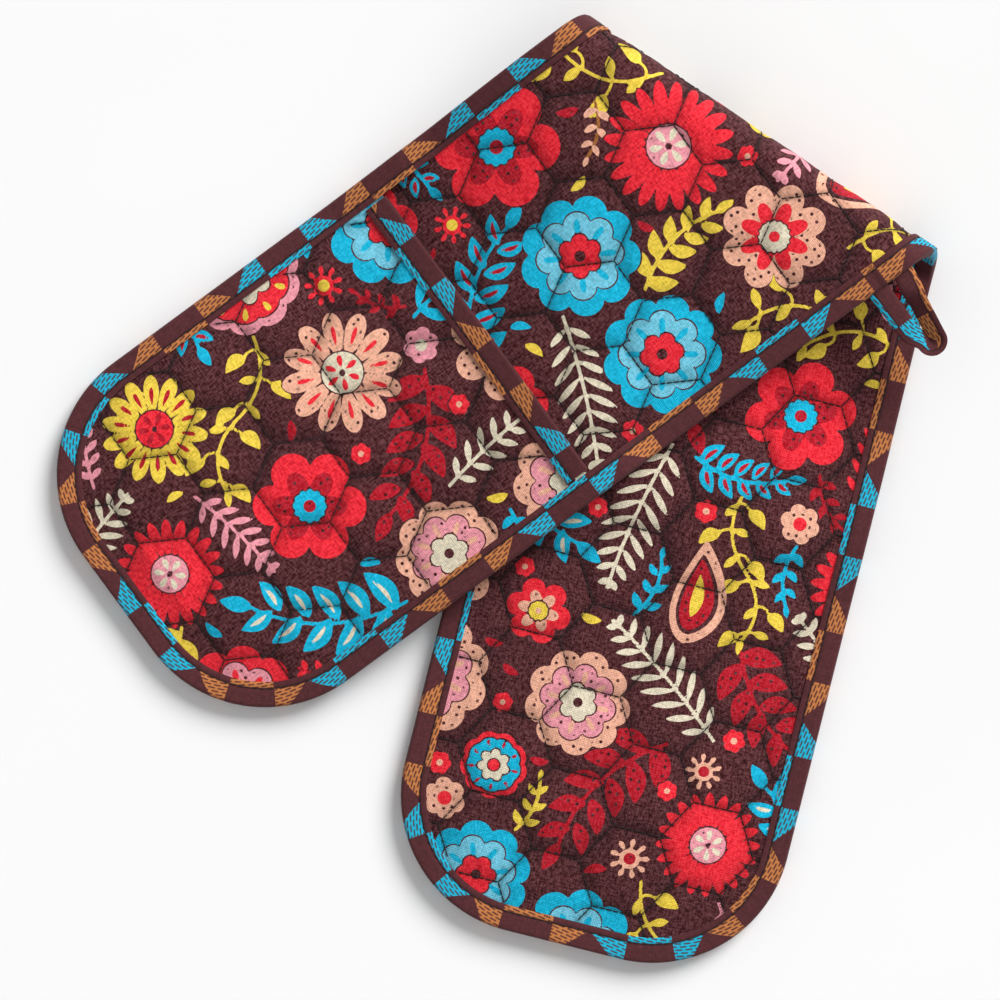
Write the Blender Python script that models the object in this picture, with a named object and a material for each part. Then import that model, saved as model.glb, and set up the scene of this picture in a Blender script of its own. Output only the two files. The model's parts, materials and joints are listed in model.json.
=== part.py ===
"""Double oven glove: a quilted strip with a hand pocket at each rounded end, folded once and laid flat.

Frame: +X runs along the fold, the two arms run towards -Y, +Z is up, and z = 0 is the table.
The right arm lies underneath with its pocket on the table side; the left arm lies on it, pocket up.

Places on the cloth are written in arm coordinates: "end" is the distance from the arm's rounded end,
"across" the distance from its centre line, and "out" the height above the strip's middle surface
towards the pocket side. Every arm is cut straight where the fold begins.
"""

import math

import bmesh
import bpy
from mathutils import Vector
from mathutils.geometry import delaunay_2d_cdt

# Strip
STRIP_WIDTH = 0.186
LEFT_LENGTH = 0.384
RIGHT_LENGTH = 0.402
CORNER_RADIUS = 0.065
FOLD_RADIUS = 0.014
FOLD_ANGLE = math.radians(19.8)

# Pockets
POCKET_DEPTH = 0.216
HAND_SPACE = 0.0062
MOUTH_LIFT = 0.0026
MOUTH_LIFT_RUN = 0.026
CROWN_RUN = 0.058
MOUTH_FADE = 0.11

# Layers
CLOTH = 0.0005
STRIP_HALF_EDGE = 0.0015
STRIP_HALF_GROOVE = 0.0018
STRIP_HALF_PUFF = 0.0032
POCKET_EDGE = 0.0022
POCKET_GROOVE = 0.0024
POCKET_PUFF = 0.0042
PUFF_RUN = 0.012
GAP = 0.0003

# Quilting
HEXAGON_EDGE = 0.0231
STRIP_QUILT_START = 0.0205
STRIP_QUILT_SHIFT = 0.0140
POCKET_QUILT_START = 0.0040
POCKET_QUILT_SHIFT = 0.0290

# Binding, topstitch and loop
LOOP_FROM_FOLD = 0.0111
BINDING_WIDTH = 0.011
BINDING_THICKNESS = 0.0010
THREAD = 0.0006
TOPSTITCH_SHARE = 0.8
LOOP_WIDTH = 0.0105
LOOP_THICKNESS = 0.0012
LOOP_LENGTH = 0.036
LOOP_EYE = 0.0056
LOOP_BEND = 0.0050
LOOP_FLAT = 0.0042
LOOP_TURN = 0.0105
LOOP_STAND_OFF = 0.0010
BAR_TACK_LENGTH = 0.009
BAR_TACK_WIDTH = 0.0016

# How the arms lie
TABLE_CLEARANCE = 0.0001
SAG_INSIDE = 0.060
SAG_OUTSIDE = 0.080
FOLD_HOLD = 0.130
FOLD_DROP = 0.120
ARM_SPACE = 0.0010
HINGE_INSET = 0.0015

# Mesh steps
EDGE_STEP = 0.012
MERGE_DISTANCE = 0.0002
SEAM_MARGIN = 0.004
ARC_STEPS = 7
FOLD_STEPS = 8
FOLD_COLUMNS = 9
LOOP_STEPS = 26

SIN_A = math.sin(FOLD_ANGLE)
COS_A = math.cos(FOLD_ANGLE)
HALF_WIDTH = STRIP_WIDTH / 2
HALF_TURN = FOLD_RADIUS * math.pi / 2
BOUND = BINDING_WIDTH + GAP * 3
TAPE_AND_THREAD = GAP * 2 + BINDING_THICKNESS + THREAD
POCKET_BOTTOM_EDGE = TABLE_CLEARANCE + TAPE_AND_THREAD
LOWER_Z = TABLE_CLEARANCE + max(STRIP_HALF_PUFF, STRIP_HALF_EDGE + TAPE_AND_THREAD)
FOLD_Z = LOWER_Z + FOLD_RADIUS
UPPER_Z = FOLD_Z + FOLD_RADIUS
CARRIED_Z = POCKET_PUFF + MOUTH_LIFT + HAND_SPACE + STRIP_HALF_PUFF * 3 + ARM_SPACE
HINGE_REACH = HALF_TURN - FOLD_RADIUS + HINGE_INSET
HINGE_RISE = FOLD_RADIUS - HINGE_INSET
TOPSTITCH_PLACE = BINDING_WIDTH * TOPSTITCH_SHARE
LEFT, RIGHT = -1, 1

PLUM = (0.070, 0.015, 0.023, 1)
DARK_PLUM = (0.045, 0.010, 0.016, 1)
WADDING_WHITE = (0.80, 0.77, 0.70, 1)


def clamp(x):
    return max(0.0, min(1.0, x))


def smooth(x):
    x = clamp(x)
    return x * x * (3 - 2 * x)


def material(name, colour, roughness):
    mat = bpy.data.materials.new(name)
    mat.use_nodes = True
    shader = mat.node_tree.nodes["Principled BSDF"]
    shader.inputs["Base Color"].default_value = colour
    shader.inputs["Roughness"].default_value = roughness
    shader.inputs["Metallic"].default_value = 0
    return mat


class Pivot:
    """An empty on the axis that a body turns about; the body's pieces are its children."""

    def __init__(self, name, at, parent=None):
        self.at = Vector(at)
        self.empty = bpy.data.objects.new(name, None)
        bpy.context.collection.objects.link(self.empty)
        self.empty.location = self.at - parent.at if parent else self.at
        self.empty.parent = parent.empty if parent else None


def mesh_object(name, points, faces, mat, pivot):
    """Makes a closed object whose origin is its pivot."""
    mesh = bpy.data.meshes.new(name)
    mesh.from_pydata([Vector(p) - pivot.at for p in points], [], faces)
    work = bmesh.new()
    work.from_mesh(mesh)
    bmesh.ops.recalc_face_normals(work, faces=work.faces)
    if work.calc_volume(signed=True) < 0:
        bmesh.ops.reverse_faces(work, faces=work.faces)
    work.to_mesh(mesh)
    work.free()
    mesh.materials.append(mat)
    obj = bpy.data.objects.new(name, mesh)
    bpy.context.collection.objects.link(obj)
    obj.parent = pivot.empty
    return obj


# The strip's place in space


def fold_coordinates(along, across):
    """Cloth place, measured from the fold's middle, as a distance along the fold and one over it."""
    return along * SIN_A - across * COS_A, along * COS_A + across * SIN_A


def arm_length(side):
    return RIGHT_LENGTH if side == RIGHT else LEFT_LENGTH


def end_at(side, over, across):
    """The distance from the arm's end at which it is `over` from the middle of the fold."""
    return arm_length(side) - (over - side * across * SIN_A) / COS_A


def edge_distance(end, across):
    """How far a place on an arm lies from the nearest sewn edge."""
    side_gap = HALF_WIDTH - abs(across)
    if end < CORNER_RADIUS and side_gap < CORNER_RADIUS:
        return CORNER_RADIUS - math.hypot(CORNER_RADIUS - end, CORNER_RADIUS - side_gap)
    return min(side_gap, end)


def rise(end, across):
    """0 on the sewn edge and 1 where the quilting reaches its full height."""
    return clamp((edge_distance(end, across) - BOUND) / PUFF_RUN)


def past_mouth(end):
    """0 along the pocket, rising to 1 where the strip lies as if it had none."""
    return smooth((end - POCKET_DEPTH) / MOUTH_FADE)


def crown(end, across):
    """0 at a sewn edge and 1 where a pocket stands fully open, also just past the mouth."""
    return smooth((edge_distance(end, across) - BOUND) / CROWN_RUN) * (1 - past_mouth(end))


def edge_gap(end):
    """The pocket panel's gap to the strip under the binding, wider near the mouth."""
    return GAP + MOUTH_LIFT * clamp((end - POCKET_DEPTH + MOUTH_LIFT_RUN) / MOUTH_LIFT_RUN)


def right_height(end, across):
    """Height of the right strip's middle surface, which is carried by its own pocket."""
    sewn = POCKET_BOTTOM_EDGE + POCKET_EDGE + edge_gap(min(end, POCKET_DEPTH)) + STRIP_HALF_EDGE
    quilted = POCKET_PUFF + STRIP_HALF_PUFF - POCKET_BOTTOM_EDGE - POCKET_EDGE - STRIP_HALF_EDGE
    stacked = sewn + quilted * rise(end, across)
    return stacked + (LOWER_Z - stacked) * past_mouth(end) + HAND_SPACE * crown(end, across)


def inside_right_arm(x, y):
    """How far inside the right arm's left-hand edge a place in plan lies, negative outside it."""
    return HALF_WIDTH + x * COS_A - (HALF_TURN - y) * SIN_A


def left_height(x, y):
    """Height of the left strip: from the fold on to the right arm, and beside that to the table."""
    carried = UPPER_Z + (CARRIED_Z - UPPER_Z) * smooth(-y / FOLD_DROP)
    reach = clamp((inside_right_arm(x, y) + SAG_OUTSIDE) / (SAG_INSIDE + SAG_OUTSIDE))
    drop = (1 - smooth(reach)) * smooth(-y / FOLD_HOLD)
    return carried - (carried - LOWER_Z) * drop


def place(side, end, across, out):
    """A point of an arm, `out` from its middle surface towards the pocket side."""
    along = side * (arm_length(side) - end)
    x, over = fold_coordinates(along, across)
    if side == LEFT:
        y = over + HALF_TURN
        return Vector((x, y, left_height(x, y) + out))
    return Vector((x, HALF_TURN - over, right_height(end, across) - out))


def fold_place(x, over, out):
    """A point of the half turn between the arms."""
    turn = over / FOLD_RADIUS
    reach = FOLD_RADIUS + out
    return Vector((x, reach * math.cos(turn), FOLD_Z - reach * math.sin(turn)))


# Layers


def puff(end, across, start, shift):
    """1 at the middle of a quilted hexagon and 0 on its stitched sides."""
    tall = HEXAGON_EDGE * math.sqrt(3)
    wide = HEXAGON_EDGE * 1.5
    best = tall
    column = round((across - shift) / wide)
    for near in (column - 1, column, column + 1):
        row = round((end - start) / tall - near / 2)
        for far in (row - 1, row, row + 1):
            across_off = abs(across - shift - near * wide)
            end_off = abs(end - start - (far + near / 2) * tall)
            best = min(best, max(end_off, end_off / 2 + across_off * math.sqrt(3) / 2))
    return clamp(1 - best / (tall / 2))


def strip_lattice(side):
    """Where the strip's hexagons start on an arm: one pattern runs on over the fold."""
    if side == RIGHT:
        return STRIP_QUILT_START, STRIP_QUILT_SHIFT
    return LEFT_LENGTH + RIGHT_LENGTH - STRIP_QUILT_START, STRIP_QUILT_SHIFT


def strip_half(side, end, across):
    start, shift = strip_lattice(side)
    quilted = STRIP_HALF_GROOVE + (STRIP_HALF_PUFF - STRIP_HALF_GROOVE) * puff(end, across, start, shift)
    return STRIP_HALF_EDGE + (quilted - STRIP_HALF_EDGE) * rise(end, across)


def from_mouth(end):
    """0 under the mouth's tape and 1 where the pocket's quilting reaches its full height."""
    return clamp((POCKET_DEPTH - BOUND - end) / PUFF_RUN)


def pocket_thickness(end, across):
    bulge = puff(end, across, POCKET_QUILT_START, POCKET_QUILT_SHIFT)
    quilted = POCKET_GROOVE + (POCKET_PUFF - POCKET_GROOVE) * bulge
    return POCKET_EDGE + (quilted - POCKET_EDGE) * rise(end, across) * from_mouth(end)


def pocket_inside(side, end, across):
    """Height of the pocket's hand side over the strip's middle surface."""
    if side == RIGHT:
        return pocket_outside(side, end, across) - pocket_thickness(end, across)
    strip = STRIP_HALF_EDGE + (STRIP_HALF_PUFF + GAP * 2 - STRIP_HALF_EDGE) * rise(end, across)
    return strip + edge_gap(end) + HAND_SPACE * crown(end, across)


def pocket_outside(side, end, across):
    """Height of the pocket's outer side; the right one is pressed flat on the table."""
    if side == RIGHT:
        flat = rise(end, across) * from_mouth(end)
        return right_height(end, across) - POCKET_BOTTOM_EDGE * (1 - flat)
    return pocket_inside(side, end, across) + pocket_thickness(end, across)


def front_height(side, end):
    """Height of what the binding covers on the pocket side, along a sewn edge."""
    over = clamp((end - POCKET_DEPTH - BOUND) / MOUTH_LIFT_RUN)
    sewn = edge_gap(min(end, POCKET_DEPTH)) + POCKET_EDGE
    return STRIP_HALF_EDGE + sewn * (1 - over)


# Outlines: a station is a place on the sewn edge and the direction out of it


def side_stations(side, hand):
    """Stations along one long edge, from the fold to the start of the rounded corner."""
    seam = end_at(side, HALF_TURN + GAP / 2, hand * HALF_WIDTH)
    slope = side * hand * SIN_A / COS_A
    stations = [((seam, hand * HALF_WIDTH), (slope, hand))]
    breaks = [
        POCKET_DEPTH + BOUND + MOUTH_LIFT_RUN,
        POCKET_DEPTH + BOUND,
        POCKET_DEPTH,
        POCKET_DEPTH - MOUTH_LIFT_RUN,
        CORNER_RADIUS,
    ]
    last = seam
    for stop in breaks:
        count = max(1, math.ceil((last - stop) / EDGE_STEP))
        for i in range(1, count + 1):
            stations.append(((last + (stop - last) * i / count, hand * HALF_WIDTH), (0, hand)))
        last = stop
    return stations


def corner_stations(hand):
    """Stations round one corner of the end, after the long edge's last one."""
    stations = []
    for i in range(1, ARC_STEPS + 1):
        turn = math.pi / 2 * i / ARC_STEPS
        out = (-math.sin(turn), hand * math.cos(turn))
        middle = (CORNER_RADIUS, hand * (HALF_WIDTH - CORNER_RADIUS))
        edge = (middle[0] + out[0] * CORNER_RADIUS, middle[1] + out[1] * CORNER_RADIUS)
        stations.append((edge, out))
    return stations


def arm_stations(side):
    """All stations of an arm, from the fold round the end and back to the fold."""
    first = side_stations(side, 1) + corner_stations(1)
    second = side_stations(side, -1) + corner_stations(-1)
    return first + second[::-1]


def inset(station, depth):
    (end, across), (out_end, out_across) = station
    return end - out_end * depth, across - out_across * depth


# Panels


def inside_polygon(point, loop):
    hit = False
    for (x0, y0), (x1, y1) in zip(loop, loop[1:] + loop[:1]):
        if (y0 > point[1]) != (y1 > point[1]):
            if point[0] < x0 + (point[1] - y0) * (x1 - x0) / (y1 - y0):
                hit = not hit
    return hit


def hexagon_corners(end, across):
    """The corners of the hexagon whose middle is at the given place."""
    turns = [math.pi / 2 + math.pi / 3 * i for i in range(6)]
    return [(end + HEXAGON_EDGE * math.cos(t), across + HEXAGON_EDGE * math.sin(t)) for t in turns]


def hexagon_middles(side, start, shift):
    tall = HEXAGON_EDGE * math.sqrt(3)
    wide = HEXAGON_EDGE * 1.5
    reach = math.ceil(STRIP_WIDTH / wide)
    rows = math.ceil((LEFT_LENGTH + RIGHT_LENGTH) / tall) + reach
    for column in range(-reach, reach + 1):
        for row in range(-rows, rows + 1):
            middle = (start + (row + column / 2) * tall, shift + column * wide)
            if -tall < middle[0] < arm_length(side) + tall and abs(middle[1]) < HALF_WIDTH + wide:
                yield middle


def triangulate(loop, ring, middles, seam_gap):
    """Triangles of an outline, with the sewn ring and the quilted hexagons as edges.
    seam_gap gives how far a place lies from the cut ends, where the ring is open."""

    def free(point):
        return min(edge_distance(*point) - BOUND, seam_gap(point))

    points = list(loop) + list(ring)
    edges = [(i, (i + 1) % len(loop)) for i in range(len(loop))]
    edges += [(len(loop) + i, len(loop) + i + 1) for i in range(len(ring) - 1)]
    seen = {}

    def add(point):
        key = (round(point[0] / MERGE_DISTANCE), round(point[1] / MERGE_DISTANCE))
        if key not in seen:
            seen[key] = len(points)
            points.append(point)
        return seen[key]

    for middle in middles:
        corners = hexagon_corners(*middle)
        if free(middle) > SEAM_MARGIN:
            add(middle)
        for a, b in zip(corners, corners[1:] + corners[:1]):
            gap_a, gap_b = free(a), free(b)
            if gap_a > SEAM_MARGIN and gap_b > SEAM_MARGIN:
                edges.append((add(a), add(b)))
            elif gap_a > SEAM_MARGIN:
                add(a)
    vectors = [Vector(p) for p in points]
    found, _, faces, *_ = delaunay_2d_cdt(vectors, edges, [], 0, MERGE_DISTANCE)
    found = [(p.x, p.y) for p in found]
    kept = []
    for face in faces:
        middle = [sum(found[i][k] for i in face) / 3 for k in (0, 1)]
        if inside_polygon(middle, loop):
            kept.append(tuple(face))
    return found, kept


def slab(name, points, faces, low, high, mat, pivot):
    """A closed layer between two surfaces; low and high turn a flat place into a point in space."""
    used = sorted({i for face in faces for i in face})
    index = {old: new for new, old in enumerate(used)}
    count = len(used)
    solid = [low(*points[i]) for i in used] + [high(*points[i]) for i in used]
    bottom = [tuple(index[i] for i in face) for face in faces]
    borders = {}
    for a, b, c in bottom:
        for edge in ((a, b), (b, c), (c, a)):
            if edge[::-1] in borders:
                del borders[edge[::-1]]
            else:
                borders[edge] = True
    top = [(a + count, c + count, b + count) for a, b, c in bottom]
    walls = []
    for a, b in borders:
        walls += [(a, a + count, b), (b, a + count, b + count)]
    return mesh_object(name, solid, bottom + top + walls, mat, pivot)


def sweep(name, sections, mat, pivot):
    """A closed bar through a row of sections that have equally many points."""
    size = len(sections[0])
    points = [p for section in sections for p in section]
    faces = []
    for i in range(len(sections) - 1):
        for j in range(size):
            a, b = i * size + j, i * size + (j + 1) % size
            faces += [(a, b, a + size), (b, b + size, a + size)]
    faces.append(tuple(range(size)))
    faces.append(tuple(reversed(range(len(points) - size, len(points)))))
    return mesh_object(name, points, faces, mat, pivot)


def layer_levels(thickness):
    """Lower and upper level of back cloth, wadding and front cloth in a quilted panel."""
    return {
        "back_cloth": (0.0, CLOTH),
        "wadding": (CLOTH + GAP, thickness - CLOTH - GAP),
        "front_cloth": (thickness - CLOTH, thickness),
    }


def arm_panel(side, prefix, mats, pivot):
    """The strip's three layers on one arm, and the pocket's three on top of them."""
    stations = arm_stations(side)
    loop = [inset(s, 0) for s in stations]
    ring = [inset(s, BOUND) for s in stations]

    def seam_gap(point):
        over = (arm_length(side) - point[0]) * COS_A + side * point[1] * SIN_A
        return over - HALF_TURN

    start, shift = strip_lattice(side)
    middles = list(hexagon_middles(side, start, shift))
    points, faces = triangulate(loop, ring, middles, seam_gap)

    def strip_level(name, top):
        def at(end, across):
            half = strip_half(side, end, across)
            return place(side, end, across, layer_levels(2 * half)[name][top] - half)

        return at

    for layer in ("back_cloth", "wadding", "front_cloth"):
        slab(f"{prefix}_arm_{layer}", points, faces, strip_level(layer, 0), strip_level(layer, 1),
             mats[layer], pivot)

    loop, ring = pocket_outline(side)
    middles = list(hexagon_middles(side, POCKET_QUILT_START, POCKET_QUILT_SHIFT))
    points, faces = triangulate(loop, ring, middles, lambda p: POCKET_DEPTH - BOUND - p[0])

    def pocket_level(name, top):
        def at(end, across):
            level = layer_levels(pocket_thickness(end, across))[name][top]
            return place(side, end, across, pocket_inside(side, end, across) + level)

        return at

    names = {"back_cloth": "lining", "wadding": "wadding", "front_cloth": "outer_cloth"}
    for layer, word in names.items():
        slab(f"{prefix}_pocket_{word}", points, faces, pocket_level(layer, 0), pocket_level(layer, 1),
             mats[layer], pivot)


def mouth_places():
    """Places across the mouth at which the tape and the cloth under it have points."""
    reach = HALF_WIDTH - BOUND - GAP
    count = math.ceil(reach * 2 / EDGE_STEP)
    return [-reach + 2 * reach * i / count for i in range(count + 1)]


def pocket_outline(side):
    """Outline of the pocket panel and its sewn ring, both closed along the straight mouth."""
    stations = [s for s in arm_stations(side) if s[0][0] < POCKET_DEPTH + MERGE_DISTANCE]
    loop = [inset(s, 0) for s in stations] + [(POCKET_DEPTH, x) for x in mouth_places()]
    under = POCKET_DEPTH - BOUND
    ring = [inset(s, BOUND) for s in stations if s[0][0] < under - MERGE_DISTANCE]
    ring += [(under, x) for x in mouth_places()]
    return loop, ring + ring[:1]


def tape_profile(front, back):
    """Cross-section of the tape folded over an edge that reaches from -back to front.
    Each point is a depth in from the edge and a level."""
    high, low = front + GAP, -back - GAP
    high_skin, low_skin = high + BINDING_THICKNESS, low - BINDING_THICKNESS
    outside = -GAP - BINDING_THICKNESS
    return [
        (BINDING_WIDTH, high), (BINDING_WIDTH, high_skin), (0.0, high_skin), (outside, high),
        (outside, low), (0.0, low_skin), (BINDING_WIDTH, low_skin), (BINDING_WIDTH, low),
        (-GAP, low), (-GAP, high),
    ]


def arm_binding(side, prefix, mat, pivot):
    sections = []
    for station in arm_stations(side):
        profile = tape_profile(front_height(side, station[0][0]), STRIP_HALF_EDGE)
        sections.append([place(side, *inset(station, depth), out) for depth, out in profile])
    sweep(f"{prefix}_arm_edge_binding", sections, mat, pivot)


def thread_profile(level):
    """Three-sided section of a sewn thread that lies on the tape, at a level out from the strip."""
    half = THREAD / 2
    top = level + math.copysign(THREAD, level)
    return (TOPSTITCH_PLACE - half, level), (TOPSTITCH_PLACE + half, level), (TOPSTITCH_PLACE, top)


def thread_section(side, station, level):
    return [place(side, *inset(station, d), out) for d, out in thread_profile(level)]


def arm_topstitch(side, prefix, mat, pivot):
    """The seam thread on the upper face of the perimeter tape."""
    sections = []
    for station in arm_stations(side):
        covered = front_height(side, station[0][0]) if side == LEFT else STRIP_HALF_EDGE
        level = covered + GAP * 2 + BINDING_THICKNESS
        sections.append(thread_section(side, station, -side * level))
    sweep(f"{prefix}_arm_binding_topstitch", sections, mat, pivot)


def mouth_binding(side, prefix, mat, thread_mat, pivot):
    """The tape folded over the pocket's straight mouth, and its topstitch."""
    level = POCKET_EDGE + GAP * 2 + BINDING_THICKNESS
    sections, threads = [], []
    for across in mouth_places():

        def at(depth, out, across=across):
            base = pocket_inside(side, POCKET_DEPTH - max(depth, 0.0), across)
            return place(side, POCKET_DEPTH - depth, across, base + out)

        sections.append([at(*p) for p in tape_profile(POCKET_EDGE, 0)])
        threads.append([at(*p) for p in thread_profile(level)])
    sweep(f"{prefix}_mouth_binding", sections, mat, pivot)
    sweep(f"{prefix}_mouth_topstitch", threads, thread_mat, pivot)


# Fold


def fold_edge(hand, over):
    """Distance along the fold of the strip's long edge, at a distance over the fold."""
    along = (over - hand * HALF_WIDTH * SIN_A) / COS_A
    return along * SIN_A - hand * HALF_WIDTH * COS_A


def fold_overs():
    """Distances over the fold at which its pieces have points."""
    reach = HALF_TURN - GAP / 2
    return [-reach + 2 * reach * i / FOLD_STEPS for i in range(FOLD_STEPS + 1)]


def fold_half(share):
    """Half thickness of the strip on the fold, thin at both sewn edges."""
    edge = min(share, 1 - share) * STRIP_WIDTH / COS_A
    middle = (STRIP_HALF_GROOVE + STRIP_HALF_PUFF) / 2
    return STRIP_HALF_EDGE + (middle - STRIP_HALF_EDGE) * clamp((edge - BOUND) / PUFF_RUN)


def fold_panel(mats, pivot):
    """The strip's three layers round the half turn."""
    bound = BOUND / STRIP_WIDTH * COS_A
    shares = [0, bound] + [bound + (1 - 2 * bound) * i / FOLD_COLUMNS for i in range(1, FOLD_COLUMNS)]
    shares += [1 - bound, 1]
    points = [(share, over) for over in fold_overs() for share in shares]
    size = len(shares)
    faces = []
    for row in range(FOLD_STEPS):
        for column in range(size - 1):
            a = row * size + column
            faces += [(a, a + 1, a + size), (a + 1, a + size + 1, a + size)]

    def level(name, top):
        def at(share, over):
            x = fold_edge(1, over) * (1 - share) + fold_edge(-1, over) * share
            half = fold_half(share)
            return fold_place(x, over, layer_levels(2 * half)[name][top] - half)

        return at

    for layer in ("back_cloth", "wadding", "front_cloth"):
        slab(f"fold_{layer}", points, faces, level(layer, 0), level(layer, 1), mats[layer], pivot)


def fold_binding(hand, word, mat, thread_mat, pivot):
    """The perimeter tape and its topstitch where they go round the fold."""
    profile = tape_profile(STRIP_HALF_EDGE, STRIP_HALF_EDGE)
    thread = thread_profile(STRIP_HALF_EDGE + GAP * 2 + BINDING_THICKNESS)
    tapes, threads = [], []
    for over in fold_overs():
        edge = fold_edge(hand, over)
        tapes.append([fold_place(edge + hand * d / COS_A, over, out) for d, out in profile])
        threads.append([fold_place(edge + hand * d / COS_A, over, out) for d, out in thread])
    sweep(f"fold_{word}_binding", tapes, mat, pivot)
    sweep(f"fold_{word}_topstitch", threads, thread_mat, pivot)


# Hanging loop


def loop_end():
    """Distance from the left arm's end to the middle of the loop."""
    return end_at(LEFT, HALF_TURN, -HALF_WIDTH) - LOOP_FROM_FOLD


def loop_root():
    """The middle of the loop's sewn edge, just outside the tape on the left arm's lower edge."""
    outside = GAP + BINDING_THICKNESS + LOOP_STAND_OFF
    return place(LEFT, loop_end(), -HALF_WIDTH - outside, -STRIP_HALF_EDGE / 2)


def loop_frame():
    """Directions along the sewn edge towards the fold, and out of it."""
    along = Vector((SIN_A, COS_A, 0))
    out = Vector((COS_A, -SIN_A, 0))
    return along, out


def loop_path():
    """Middle line of the folded tape as (along, out, turn): turn is 0 lying flat and 1 on edge."""
    leg = (LOOP_EYE + LOOP_THICKNESS) / 2
    flat = LOOP_WIDTH / 2 + LOOP_THICKNESS / 2
    straight = LOOP_LENGTH - leg - LOOP_TURN
    steps = LOOP_STEPS // 2 - ARC_STEPS // 2
    path = []
    for i in range(steps + 1):
        share = i / steps
        reach = share * (straight + LOOP_TURN)
        turn = smooth((reach - straight) / LOOP_TURN)
        path.append((-leg - (flat - leg) * (1 - turn), reach, turn))
    for i in range(1, ARC_STEPS):
        angle = math.pi * i / ARC_STEPS
        path.append((-leg * math.cos(angle), straight + LOOP_TURN + leg * math.sin(angle), 1.0))
    for i in range(steps, -1, -1):
        share = i / steps
        reach = share * (straight + LOOP_TURN)
        turn = smooth((reach - LOOP_FLAT) / LOOP_TURN)
        path.append((leg + LOOP_BEND * (1 - share), reach, turn))
    return path


def hanging_loop(mat, pivot):
    along, out = loop_frame()
    up = Vector((0, 0, 1))
    root = loop_root()
    path = loop_path()
    centres = [root + along * p[0] + out * p[1] for p in path]
    sections = []
    for i, centre in enumerate(centres):
        ahead = centres[min(i + 1, len(centres) - 1)] - centres[max(i - 1, 0)]
        ahead.normalize()
        side = ahead.cross(up)
        angle = path[i][2] * math.pi / 2
        wide = side * math.cos(angle) + up * math.sin(angle)
        thick = ahead.cross(wide)
        half_wide = wide * LOOP_WIDTH / 2
        half_thick = thick * LOOP_THICKNESS / 2
        sections.append([
            centre + half_wide + half_thick, centre - half_wide + half_thick,
            centre - half_wide - half_thick, centre + half_wide - half_thick,
        ])
    sweep("hanging_loop", sections, mat, pivot)


def bar_tack(mat, pivot):
    """The dense stitch on the back of the binding that holds the loop's ends."""
    level = -STRIP_HALF_EDGE - GAP * 2 - BINDING_THICKNESS
    depth = BINDING_WIDTH / 2
    sections = []
    for end in (loop_end() - BAR_TACK_LENGTH / 2, loop_end() + BAR_TACK_LENGTH / 2):
        corners = [
            (depth - BAR_TACK_WIDTH / 2, level), (depth + BAR_TACK_WIDTH / 2, level),
            (depth + BAR_TACK_WIDTH / 2, level - THREAD), (depth - BAR_TACK_WIDTH / 2, level - THREAD),
        ]
        sections.append([place(LEFT, end, -HALF_WIDTH + d, out) for d, out in corners])
    sweep("loop_bar_tack", sections, mat, pivot)


def stand_on_origin(root):
    """Moves the whole glove so that the frame's origin is under the middle of its box."""
    bpy.context.view_layer.update()
    points = [
        obj.matrix_world @ vertex.co
        for obj in bpy.data.objects if obj.type == "MESH"
        for vertex in obj.data.vertices
    ]
    for axis in (0, 1):
        values = [p[axis] for p in points]
        root.empty.location[axis] -= (min(values) + max(values)) / 2
    root.empty.location[2] -= min(p[2] for p in points)


def main():
    for obj in list(bpy.data.objects):
        bpy.data.objects.remove(obj)
    cloth = material("printed_cotton", PLUM, 0.85)
    wadding = material("cotton_wadding", WADDING_WHITE, 0.95)
    tape = material("check_tape", DARK_PLUM, 0.8)
    thread = material("plum_thread", DARK_PLUM, 0.6)
    mats = {"front_cloth": cloth, "back_cloth": cloth, "wadding": wadding}

    root = Pivot("right_arm_base", (0, 0, 0))
    lower = Pivot("fold_lower_hinge", (0, HINGE_REACH, FOLD_Z - HINGE_RISE), root)
    upper = Pivot("fold_upper_hinge", (0, HINGE_REACH, FOLD_Z + HINGE_RISE), lower)
    loop = Pivot("loop_hinge", loop_root(), upper)

    for side, prefix, pivot in ((RIGHT, "right", root), (LEFT, "left", upper)):
        arm_panel(side, prefix, mats, pivot)
        arm_binding(side, prefix, tape, pivot)
        arm_topstitch(side, prefix, thread, pivot)
        mouth_binding(side, prefix, tape, thread, pivot)
    fold_panel(mats, lower)
    fold_binding(1, "upper_left", tape, thread, lower)
    fold_binding(-1, "lower_right", tape, thread, lower)
    bar_tack(thread, upper)
    hanging_loop(tape, loop)
    stand_on_origin(root)


main()
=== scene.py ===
"""Looks of a double oven glove, folded once and laid flat: printed cotton, check tape, thread, light.

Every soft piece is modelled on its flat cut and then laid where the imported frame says. Places on the
cloth are written in arm coordinates, in metres: "end" is the distance from the arm's rounded end,
"across" the distance from its centre line, and "out" the height over the strip's middle surface
towards the pocket side. Past the arm's seam the same coordinates run on round the fold.
"""

import json
import logging
import math
from dataclasses import dataclass, field
from enum import Enum
from typing import Callable, Iterable, Sequence

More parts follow.
